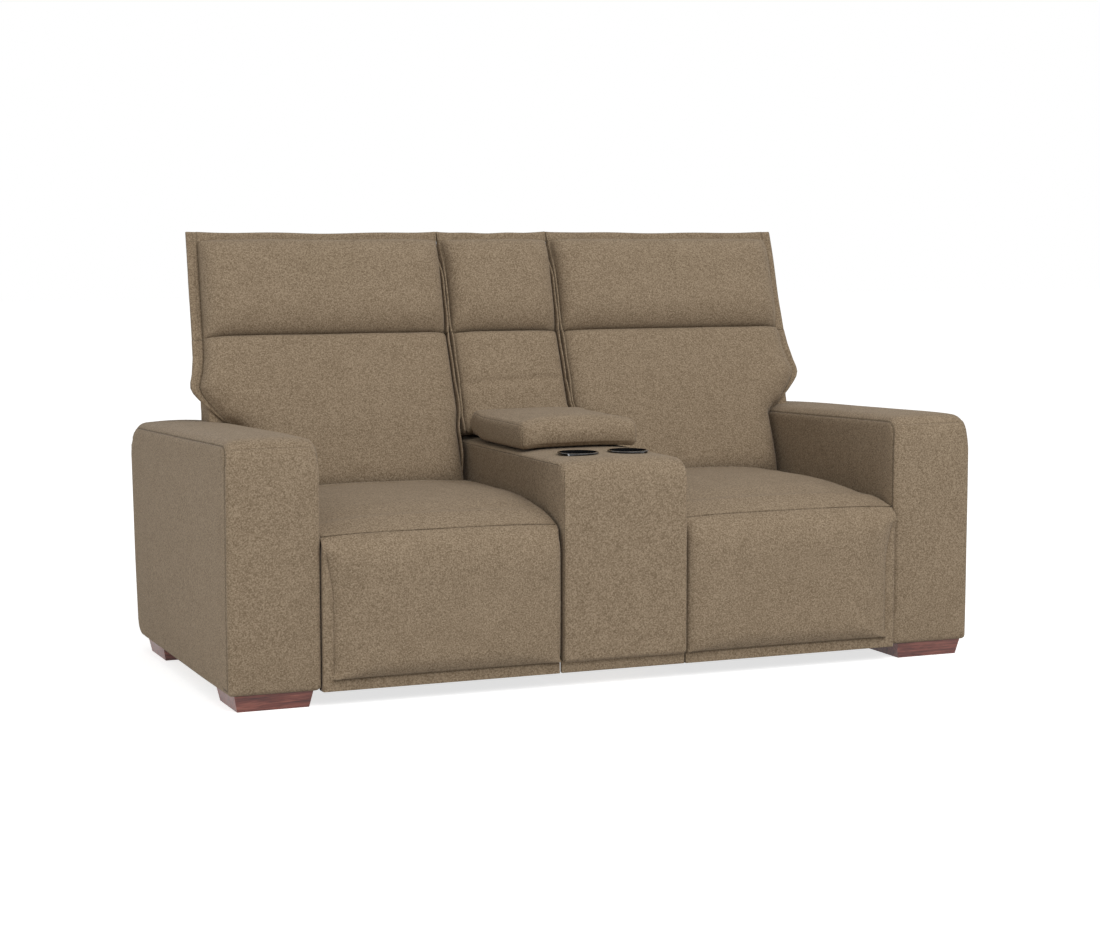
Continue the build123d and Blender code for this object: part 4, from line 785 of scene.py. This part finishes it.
def low_back_loops(low, high, low_edge, high_edge, count, inward=None, start=-28):
    rows = []
    for v in LOW_ROWS[LOW_ROWS >= start]:
        # The top rows, under the headrest's overhang, are painted darker: painted shade in the seam.
        rows.append(panel_loop(
            v, low(v), high(v), low_edge(v), high_edge(v), low_tall(v), seam_eased, count, inward,
            mark=0.4 * (v > SEAM_UP - SEAM_LOW - 1.2),
        ))
    return rows


def head_loops(low, high, low_edge, high_edge, count):
    rows = []
    for v in HEAD_ROWS:
        # The lowest rows, over the seam, and the crease under the top edge are painted darker: painted shade.
        rows.append(panel_loop(
            v, low(v), high(v), low_edge(v), high_edge(v), head_tall(v), head_eased, count, sag=top_sag,
            mark=max(0.4 * (v < 1 - SEAM_LOW), 0.5 * (v == HEAD_CREASE)),
        ))
    return rows


def inner_edge(v):
    """Inner edge of a lower back, which widens above the console."""
    return BACK_IN + (BACK_IN_HIGH - BACK_IN) * smooth_step(*STEP_IN, v)


def shift_inner(mesh, inward, share):
    """Draw a pad's inner edge outwards, as on the left, where the middle is wider."""
    places = points_of(mesh)
    places[:, 0] += LEFT_SHIFT * MM * share * (1 - smooth_step(0, 160, inward))
    move_points(mesh, places)


def low_inner_edge(v, mark=0.7):
    # mark is how dark the crease inside the standing edge is painted: painted shade.
    rise = smooth_step(-20, 70, v)
    return standing_edge(12 + 28 * rise, 11 + 3 * rise, sway_at(v, 0.8), mark)


def head_inner_edge(v, mark=0.7):
    tall = head_edge_tall(v)
    # The painted shade in the crease fades out towards the top edge.
    mark = mark * smooth_step(258, 200, v)
    sway = sway_at(v + SEAM_UP, 0.8) * smooth_step(HEAD_HIGH, 225, v)
    return standing_edge(tall, min(14, tall - 1.5), sway, mark)


def make_backs():
    """Lower backs and headrests: pillows with sewn edges, their cloth eased where they meet at the headrest's
    hinge.
    """
    edge_v, edge_x = zip(*OUTER_EDGE)
    wide_v, wide = zip(*EDGE_WIDE)
    fine = np.arange(-28, 417.1, 2)
    outline = np.stack([np.interp(fine, edge_v, edge_x), fine, np.interp(fine, wide_v, wide)], axis=1)

    def outer(v):
        return np.interp(v, edge_v, edge_x)

    def outer_edge(v):
        width = np.interp(v, wide_v, wide)
        return flat_edge(width, 7 + 3 * smooth_step(5, 20, width), 6, 1.6 * math.sin(v / 38))

    def from_outline(across, v):
        return outline_reach(across, v, outline)

    mesh = panel(low_back_loops(inner_edge, outer, low_inner_edge, outer_edge, 42, from_outline))
    up, out = lean_places(points_of(mesh), BACK_ROOT, BACK_LEAN)
    inward = points_of(mesh)[:, 0] / MM - inner_edge(up)
    mesh = swollen(mesh, (out < 24) | (up > SEAM_UP - SEAM_LOW - 12) | (inward < 9), 8)

    def dress_back(own, sign):
        if sign < 0:
            shift_inner(own, inward, smooth_step(*STEP_IN, up))
        ripple(own, 1.2, 120, 31 + sign, smooth_step(8, 40, inward))

    both_sides("back", mesh, "{side}_back", "{side}_back_pad", dress_back, HINGE_BEND)

    def head_outer(v):
        return HEAD_OUT - 6 * v / HEAD_HIGH

    def head_outer_edge(v):
        thick, crease = 10 - 3 * smooth_step(257, HEAD_HIGH, v), 6 + 2 * smooth_step(228, 238, v)
        return flat_edge(FLANGE_WIDE, thick, crease, 1.5 * math.sin(v / 31 + 2))

    mesh = panel(head_loops(lambda v: BACK_IN_HIGH, head_outer, head_inner_edge, head_outer_edge, 42))
    up, out = lean_places(points_of(mesh), HEAD_ROOT, HEAD_LEAN)
    from_edge = points_of(mesh)[:, 0] / MM - BACK_IN_HIGH
    mesh = swollen(mesh, (out < 24) | (up < 14 - SEAM_LOW) | (from_edge < 9), 8)

    def dress_head(own, sign):
        if sign < 0:
            shift_inner(own, from_edge, 1)
        ripple(own, 1.2, 130, 36 + sign, smooth_step(8, 40, from_edge))

    both_sides("headrest", mesh, "{side}_headrest", "{side}_headrest_pad", dress_head, HINGE_BEND)


def rear_block(section, low, high, voxel=7):
    """A padded rear part: its side view carried across, with softened edges."""
    mesh = evened(prism(*([(x, *point) for point in section] for x in (low, high))), voxel)
    relax(mesh, 5)
    return mesh


def make_rears():
    """Padded rears of the headrests and the middle, the outer backs, and cloth over the rear of the hinge."""
    back, up = SHELL_TOP
    top = [SHELL_TOP, (back - 12, up + 20), (back - 28, up + 28), on_head(HEAD_CREASE, 1)]

    def dress(own, sign):
        ripple(own, 0.8, 200, 41 + sign)

    mesh = rear_block([on_head(2.5, 1), SEAM_REAR] + top, SHELL_IN, SHELL_OUT)
    both_sides("headrest_rear", mesh, "{side}_headrest", "{side}_headrest_pad", dress)

    mesh = rear_block([on_back(118, 1), (rear_line(544), 544)] + top + [on_head(0, 1)], -140, 140)
    ripple(mesh, 0.8, 200, 47)
    show("middle_rear", mesh, "base", ["centre_back_pad"])

    mesh = even_skin("right_back_shell", 6)
    relax(mesh, 2)
    both_sides("outer_back", mesh, "{side}_back", "{side}_back_shell", dress)

    mesh = rear_block(LINING, ARM_IN + 1, SIDE_OUT, 5)
    for side, sign in SIDES:
        own = mesh.copy() if sign > 0 else mirrored(mesh)
        lining = show(f"{side}_back_side", own, f"{side}_back", [])
        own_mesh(lining)

    outside, inside = (
        [(SHELL_OUT - side, -4), (SHELL_OUT - side, turn), (SHELL_OUT - corner, rear),
         (SHELL_IN + corner, rear), (SHELL_IN + side, turn), (SHELL_IN + side, -4)]
        for side, corner, turn, rear in ((3, 12, -138, -146), (5, 13, -136, -144))
    )
    rows = [
        [(x, *lean(v, n, HEAD_ROOT, HINGE_LEAN)) for x, n in outside + inside[::-1]]
        for v in np.linspace(-7, 7, 13)
    ]
    mesh = skin(np.array(rows))
    both_sides("hinge_cloth", mesh, "{side}_headrest", None, lambda own, sign: None, (-6, 6))


def make_middle():
    """The fixed middle back: a lower pad and a head pad in one, sewn edges standing forward at both sides."""
    widest = SHELL_IN - 1.5

    def low(v):
        return -np.minimum(inner_edge(v) + LEFT_SHIFT * smooth_step(*STEP_IN, v) - EDGE_GAP, widest)

    def high(v):
        return np.minimum(inner_edge(v) - EDGE_GAP, widest)

    # On the middle the crease on its right is painted darker than the one on its left, on both pads: painted
    # shade, as the right crease lies in shade.
    rows = low_back_loops(
        low, high, lambda v: low_inner_edge(v, 0.3), lambda v: low_inner_edge(v, 1), 12, start=120,
    )
    top = SEAM_UP - SEAM_LOW
    groove = (top, low(top), high(top), low_inner_edge(top), low_inner_edge(top), 22)
    # A groove row where the head pad meets the lower pad, painted dark as shade.
    rows.append(panel_loop(*groove, on_back, 12, mark=1))
    rows += head_loops(
        lambda v: low(SEAM_UP), lambda v: high(SEAM_UP),
        lambda v: head_inner_edge(v, 0.3), lambda v: head_inner_edge(v, 1), 12,
    )
    mesh = panel(rows)
    up, out = lean_places(points_of(mesh), HEAD_ROOT, HEAD_LEAN)
    low_up, low_out = lean_places(points_of(mesh), BACK_ROOT, BACK_LEAN)
    held = np.where(up > -SEAM_LOW, out, low_out) < 24
    fold_up = 252 + 6 * np.sin(points_of(mesh)[:, 0] * 9)
    fold = np.exp(-((low_up - fold_up) / 8) ** 2) * smooth_step(30, 50, low_out)
    move_points(mesh, points_of(mesh) - normals_of(mesh) * (4.5 * MM * fold)[:, None])
    across = points_of(mesh)[:, 0] / MM
    inward = np.minimum(across - low(low_up), high(low_up) - across)
    mesh = swollen(mesh, held | (np.abs(up + SEAM_LOW) < 12) | (inward < 9), 7)
    ripple(mesh, 1.2, 110, 51, smooth_step(8, 40, inward))
    places = points_of(mesh) / MM
    behind_lid = (1 - smooth_step(155, 158, np.abs(places[:, 0]))) * (places[:, 2] < 650)
    places[:, 1] += np.maximum(LID_ROOM + FRONT_PLANE - places[:, 1], 0) * behind_lid
    move_points(mesh, places * MM)
    show("middle_back", mesh, "base", ["centre_back_pad"])


def make_arms():
    """Firm upright arms: side panels sewn to a strip that runs along the top and down the front."""
    low, high = (ARM_IN, 0, ARM_FOOT), (ARM_OUT, ARM_REAR_TOP, ARM_TOP)

    def seam_shade(places, on_side):
        # Seam lines along the top and down the front, and a fainter one across the front, are painted darker:
        # painted shade in their grooves; the same marks press the grooves in.
        from_top, from_front = ARM_TOP - places[:, 2], places[:, 1]
        depth = -side_view(places[:, 1], places[:, 2], low, high, ARM_RADII, 0)
        line = np.clip(1 - np.abs(depth - ARM_SEAM_IN) / 3.5, 0, 1) * ((from_top < 50) | (from_front < 50))
        across_front = (from_front <= 0) & np.isclose(from_top, 14)
        return np.where(on_side, line, np.where(across_front, 0.4, 0))

    def edge(places):
        return 11 + 20 * smooth_step(ARM_TOP - 90, ARM_TOP - 15, places[:, 2])

    places, faces, seam = boxed(low, high, ARM_RADII, edge, EDGE_NEAR, 24, seam_shade)
    mesh = fresh(places, faces, seam)
    along = block_share(places, low, high)
    share = np.sort(along, axis=1)
    crown = (1 - share[:, 0] ** 4) * (1 - share[:, 1] ** 4)
    outward = normals_of(mesh)
    inner_side = outward[:, 0] < -0.5
    dome = 10 * (1 - along[:, 0] ** 2) * (1 - along[:, 1] ** 6) - 3 * outward[:, 2]
    swell = np.where(outward[:, 1] < -0.5, 8.0, 3.0) * crown
    lift = np.where(inner_side, 0, np.where(outward[:, 2] > 0.5, dome, swell)) - 1.3 * seam
    places = places + outward * lift[:, None]
    places[:, 0] -= ARM_FULL * (1 - smooth_step(30, 90, places[:, 1])) * np.clip(-outward[:, 0], 0, 1)
    tall = np.clip((places[:, 2] - ARM_FOOT) / (ARM_TOP - ARM_FOOT), 0, 1)
    places[:, 2] = np.maximum(places[:, 2] - ARM_FALL * tall * places[:, 1] / ARM_REAR_TOP, ARM_FOOT)
    places[:, 1] *= 1 - (1 - ARM_REAR_LOW / ARM_REAR_TOP) * (1 - tall)
    mesh = fresh(places, faces, seam)

    def dress(own, sign):
        ripple(own, 1.1, 230, 3 + sign, ~inner_side)

    both_sides("arm", mesh, "base", "{side}_arm_cover", dress)


def seat_profile(offset):
    """The seat's upper and lower lines in side view, and how much each point draws in at the sides."""
    share = abs(offset) / SEAT_HALF
    fall, round_over = (30, 40) if offset > 0 else (13, 26)
    top, seam = 458 - fall * share ** 3, 393 - SEAM_DROOP * share ** 4
    rear = np.array([(556, top - 26), (554, top - 17), (548, top - 12)])
    crown = arc((540, top - 9), (370, top), (165, top - 10), 36)
    roll = arc((165, top - 10), (85.6, seam + 0.643 * (top - 10 - seam)), (9.5, seam), 22)
    upper = np.concatenate([rear, crown, roll[1:]])
    count = len(upper)
    under = np.linspace(0, 1, count)[:, None]
    turn = 0.72
    lower = np.where(
        under < turn,
        np.array((556, 302)) + (np.array((132, 302)) - (556, 302)) * under / turn,
        np.array((132, 302)) + (np.array((14, seam - 1.6)) - (132, 302)) * (under - turn) / (1 - turn),
    )
    draw = round_over + (8 - round_over) * smooth_step(150, 20, upper[:, 0])
    return upper, lower, draw


def make_seats():
    """Crowned seat cushions that roll over at the front to meet the footrest."""
    near = (0, 1, 3, 6, 10, 15, 21, 28, 36, 48)
    stations = spaced(-SEAT_HALF, SEAT_HALF, 15, near)
    loops = []
    for offset in stations:
        upper, lower, draw = seat_profile(offset)
        inward = SEAT_HALF - abs(offset)
        part = np.clip(1 - inward / draw, 0, 1)
        sink = draw * (1 - np.sqrt(1 - part ** 2))
        run = np.gradient(upper, axis=0)
        out = np.stack([run[:, 1], -run[:, 0]], axis=1)
        out /= np.linalg.norm(out, axis=1)[:, None]
        upper = upper - out * sink[:, None]
        loop = np.concatenate([upper, lower[::-1]])
        loops.append(np.concatenate([np.full((len(loop), 1), SEAT_MIDDLE + offset), loop], axis=1))
    loops = np.array(loops)
    marks = np.zeros(loops.shape[:2])
    # A faint mark at the seam with the footrest: painted shade.
    marks[:, loops.shape[1] // 2 - 1] = 0.05
    mesh = skin(loops, marks)
    places = points_of(mesh) / MM
    aside = np.abs(places[:, 0] - SEAT_MIDDLE)
    back = places[:, 1] - FRONT_PLANE
    mesh = swollen(mesh, (aside > SEAT_HALF - 8) | (places[:, 2] < 380) | (back > 545) | (back < 75), 8)

    def dress(own, sign):
        calm = smooth_step(15, 70, points_of(own)[:, 1] / MM - FRONT_PLANE)
        ripple(own, 1.3, 150, 11 + sign, calm)

    both_sides("seat", mesh, "{side}_seat", "{side}_seat_cushion", dress)


def make_footrests():
    """Padded footrest fronts with a flat sewn edge below and at the arm's side."""
    levels = np.concatenate([
        (35, 36, 39, 46, 53, 58, 61, 62.5, 65, 69, 75, 83, 93), np.arange(105, 321, 12),
        (326, 334, 342, 350, 358, 366, 373, 379, 384, 388, 391, 393, 394),
    ])
    roll = arc((326, 34), (366, 22), (391, -4.5), 60)
    roll_z, roll_n = np.append(roll[:, 0], (393, 394)), np.append(roll[:, 1], (-9, -16))
    low, high = SEAT_MIDDLE - SEAT_HALF + 0.5, ARM_IN - ARM_FULL - 0.5
    loops, marks = [], []
    for z in levels:
        pad = 14 + 20 * fullness(z - 61, 32, 2.2) if z < 326 else np.interp(z, roll_z, roll_n)
        pad = pad if z > 61 else 11
        top = smooth_step(356, 390, z)
        wide = 5 + 21 * (1 - smooth_step(240, 395, z))
        edge_out = 11 + (pad - 4 - 11) * smooth_step(335, 372, z)
        crease = edge_out - 3 * (1 - top)
        on_pad = smooth_step(60, 76, z)
        edge = np.array([(0, 0.4), (0.5, 0.8), (2.5, 1), (wide * 0.55, 1), (wide - 2.5, 1)])
        edge_x = high - edge[:, 0]
        thin = 7 * (1 - top) + 3
        edge_n = edge_out - thin * (1 - edge[:, 1])
        near = np.array(PILLOW_NEAR)
        first, last = low, high - wide
        middle = np.linspace(first + near[-1], last - near[-1], 34)
        across = np.concatenate([[first], first + near[:-1], middle, (last - near[:-1])[::-1], [last]])
        side_drop = (22 * (1 - top) + 3) * on_pad
        out = pad - side_drop * (1 - fullness(across - first, 34, 2.3))
        out -= np.maximum(pad - crease, 0) * on_pad * (1 - fullness(last - across, 60, 1.3))
        mark = np.zeros(len(across))
        # The crease beside the side edge and the crease above the bottom edge are painted darker: painted
        # shade.
        mark[-1] = 0.12 * (1 - top) * (z > 61)
        if z == 61:
            out, mark = out - 2.5, np.where(across < last + 1, 0.6, 0)
        across = np.concatenate([across, edge_x[::-1]])
        out = np.concatenate([out, edge_n[::-1]])
        mark = np.concatenate([mark, np.zeros(len(edge))])
        rear = min(0.5, pad - 7)
        behind = np.linspace(high, low, len(across))
        turned = 20 * smooth_step(high - 14, high - 9, behind) * (1 - smooth_step(340, 372, z))
        across = np.concatenate([across, behind])
        out = np.concatenate([out, rear - turned])
        mark = np.concatenate([mark, np.zeros(len(mark))])
        share = np.abs(across - SEAT_MIDDLE) / SEAT_HALF
        up = z - SEAM_DROOP * share ** 4 * smooth_step(300, 391, z)
        loops.append(np.stack([across, 4 - out, up], axis=1))
        marks.append(mark)
    mesh = skin(np.array(loops), np.array(marks))
    places = points_of(mesh) / MM
    out = 4 - (places[:, 1] - FRONT_PLANE)
    mesh = swollen(mesh, (out < 20) | (places[:, 2] > 350) | (places[:, 0] > high - 30), 5)

    def dress(own, sign):
        ripple(own, 1.1, 140, 21 + sign, smooth_step(62, 90, points_of(own)[:, 2] / MM))

    both_sides("footrest", mesh, "{side}_footrest", "{side}_footrest_pad", dress)


def cut_out(mesh, cutters):
    """Cut wells out of a cover."""
    piece = working_copy(mesh)
    tools = []
    for cutter in cutters:
        tool = working_copy(cutter)
        well = piece.modifiers.new("well", "BOOLEAN")
        well.operation = "DIFFERENCE"
        well.solver = "EXACT"
        well.object = tool
        tools.append(tool)
    mesh = applied(piece)
    for tool in tools:
        bpy.data.objects.remove(tool)
    return mesh


def well(shape, low, high):
    """An upright well between two heights, from its outline seen from above."""
    return prism(*([(x, y, z) for x, y in shape] for z in (low, high)))


def edge_seam_shade(top, front, inset, mark):
    """Seam marks for the sides of a block, along the top and down the front a little in from the edge, which
    paint shade in the seams' grooves.
    """
    def seam_shade(places, on_side):
        from_top, from_front = top - places[:, 2], places[:, 1] - front
        along = np.isclose(from_top, inset) & (from_front >= inset - 0.1)
        down = np.isclose(from_front, inset) & (from_top >= inset - 0.1)
        return mark * (on_side & (along | down))

    return seam_shade


def make_console():
    """The console with its crisp sewn edges and domed top, and the skirt below its front."""
    low, high = (-CONSOLE_HALF, CONSOLE_FRONT, CONSOLE_FOOT), (CONSOLE_HALF, CONSOLE_REAR, CONSOLE_TOP)
    # The console's seams are painted fully dark: painted shade in their grooves, which the same marks press in.
    seam_shade = edge_seam_shade(CONSOLE_TOP, CONSOLE_FRONT, 4.5, 1)
    places, faces, seam = boxed(low, high, (CONSOLE_ROLL, 10, 12, 10), 9, CRISP_NEAR, 22, seam_shade)
    outward = normals_of(fresh(places, faces))
    domed = places - outward * seam[:, None] * 1.1
    domed[:, 2] -= (2 + 10 * (domed[:, 0] / CONSOLE_HALF) ** 4) * smooth_step(460, CONSOLE_TOP, places[:, 2])
    mesh = fresh(domed, faces, seam)
    ripple(mesh, 0.8, 180, 53)
    turns = np.linspace(0, 2 * math.pi, 64, endpoint=False)
    cup = np.stack([np.cos(turns), np.sin(turns)], axis=1) * CUP_RADIUS
    storage = [(x * BIN_HALF, y) for x, y in ((-1, BIN_FRONT), (1, BIN_FRONT), (1, BIN_REAR), (-1, BIN_REAR))]
    wells = [well(cup + (x, CUP_BACK), CUP_FLOOR, WELL_TOP) for x in (-CUP_APART, CUP_APART)]
    mesh = cut_out(mesh, wells + [well(storage, BIN_FLOOR, WELL_TOP)])
    mesh.set_sharp_from_angle(angle=math.radians(50))
    show("console", mesh, "base", ["console_cover"])

    low, high = (-CONSOLE_HALF, -9, 35), (CONSOLE_HALF, 3, 66)
    places, faces, seam = boxed(
        low, high, (3, 3, 3, 3), 3, (0, 1.2, 3), 9, lambda spots, on_side: np.zeros(len(spots)),
    )
    show("console_skirt", fresh(places, faces, seam), "base", ["console_cover"])


def make_lid():
    """The padded lid: domed, its rim coming down round its board, its rear end round about the hinge."""
    low, high = (-LID_HALF, LID_FRONT, LID_LOW), (LID_HALF, LID_REAR, LID_SKIN)
    # The lid's seams are painted darker: painted shade in their grooves, which the same marks press in.
    seam_shade = edge_seam_shade(LID_SKIN, LID_FRONT, 6, 0.7)
    places, faces, seam = boxed(low, high, (34, 34, 20, 34), 18, CRISP_NEAR, 12, seam_shade)
    share = np.sort(block_share(places, low, high), axis=1)
    outward = normals_of(fresh(places, faces))
    crown = (1 - share[:, 0] ** 2) * (1 - share[:, 1] ** 4) * np.where(outward[:, 2] < -0.5, 0, 4)
    crown *= 1 - smooth_step(540, 590, places[:, 1])
    domed = places + outward * (crown - 1.0 * seam)[:, None]
    under = 1 - smooth_step(550, 600, places[:, 2])
    rim = np.maximum(smooth_step(134, 146, np.abs(places[:, 0])), 1 - smooth_step(260, 274, places[:, 1]))
    fall = 7 * (domed[:, 0] / LID_HALF) ** 4 * (1 - under + under * rim) + 3.5 * under * rim
    domed[:, 2] -= fall * (1 - smooth_step(520, 575, places[:, 1]))
    mesh = fresh(domed, faces, seam)
    held = (np.abs(places[:, 0]) > LID_HALF - 8) | (places[:, 2] < 560) | (places[:, 1] > 575)
    mesh = swollen(mesh, held, 5)
    ripple(mesh, 0.9, 100, 57)
    show("lid", mesh, "lid", ["lid_pad"])


def make_rear_cloth():
    mesh = even_skin("rear_panels", 5)
    relax(mesh, 1)
    ripple(mesh, 0.6, 150, 59)
    show("rear_cloth", mesh, "base", ["rear_panels"])


make_arms()
make_seats()
make_footrests()
make_backs()
make_rears()
make_middle()
make_console()
make_lid()
make_rear_cloth()


def seen_rays(tree, place):
    """1 for what is seen, straight, in gloss or through glass, and 0 for the light that falls on things."""
    path = add(tree, "ShaderNodeLightPath", place).outputs
    straight = sums(tree, (place[0] + 200, 0), "MAXIMUM", path["Is Camera Ray"], path["Is Glossy Ray"])
    return sums(tree, (place[0] + 400, 0), "MAXIMUM", straight, path["Is Transmission Ray"])


def pale_floor():
    made, tree = blank_material("pale_floor")
    lift = sums(tree, (0, -160), "MULTIPLY", seen_rays(tree, (-600, 0)), FLOOR_LIFT)
    matt = add(tree, "ShaderNodeBsdfDiffuse", (200, 100), Color=FLOOR_GREY)
    glow = add(tree, "ShaderNodeEmission", (200, -100), Color=WHITE, Strength=lift)
    both = add(tree, "ShaderNodeAddShader", (400, 0), matt.outputs[0], glow.outputs[0])
    add(tree, "ShaderNodeOutputMaterial", (600, 0), both.outputs[0])
    return made


def make_stage():
    """A plain floor, an even sky that looks white, and two soft lamps."""
    mesh = bpy.data.meshes.new("floor")
    corners = [(x * FLOOR_REACH, y * FLOOR_REACH, 0) for x, y in ((-1, -1), (1, -1), (1, 1), (-1, 1))]
    mesh.from_pydata(corners, [], [(0, 1, 2, 3)])
    mesh.materials.append(pale_floor())
    floor = bpy.data.objects.new("floor", mesh)
    scene.collection.objects.link(floor)

    world = bpy.data.worlds.new("studio")
    scene.world = world
    world.use_nodes = True
    tree = world.node_tree
    tree.nodes.clear()
    soft = add(tree, "ShaderNodeBackground", (200, 100), Color=SKY_COLOUR, Strength=SKY_LEVEL)
    white = add(tree, "ShaderNodeBackground", (200, -100), Color=WHITE, Strength=1.0)
    seen = seen_rays(tree, (-400, 0))
    mix = add(tree, "ShaderNodeMixShader", (400, 0), seen, soft.outputs[0], white.outputs[0])
    add(tree, "ShaderNodeOutputWorld", (600, 0), mix.outputs[0])

    for name, place, size, power in LAMPS:
        lamp = bpy.data.lights.new(name, "AREA")
        lamp.shape = "DISK"
        lamp.size = size
        lamp.energy = power
        light = bpy.data.objects.new(name, lamp)
        scene.collection.objects.link(light)
        light.location = place
        light.rotation_euler = (Vector(LAMP_AIM) - light.location).to_track_quat("-Z", "Y").to_euler()


def make_camera():
    lens = bpy.data.cameras.new("camera")
    lens.lens = CAMERA_LENS
    lens.sensor_width = CAMERA_SENSOR
    camera = bpy.data.objects.new("camera", lens)
    scene.collection.objects.link(camera)
    turn, rise = (math.radians(angle) for angle in CAMERA_ANGLES)
    back = Vector((math.sin(turn) * math.cos(rise), -math.cos(turn) * math.cos(rise), math.sin(rise)))
    camera.location = CAMERA_PLACE
    camera.rotation_euler = (-back).to_track_quat("-Z", "Y").to_euler()
    scene.camera = camera


make_stage()
make_camera()
scene.view_settings.view_transform = "Standard"
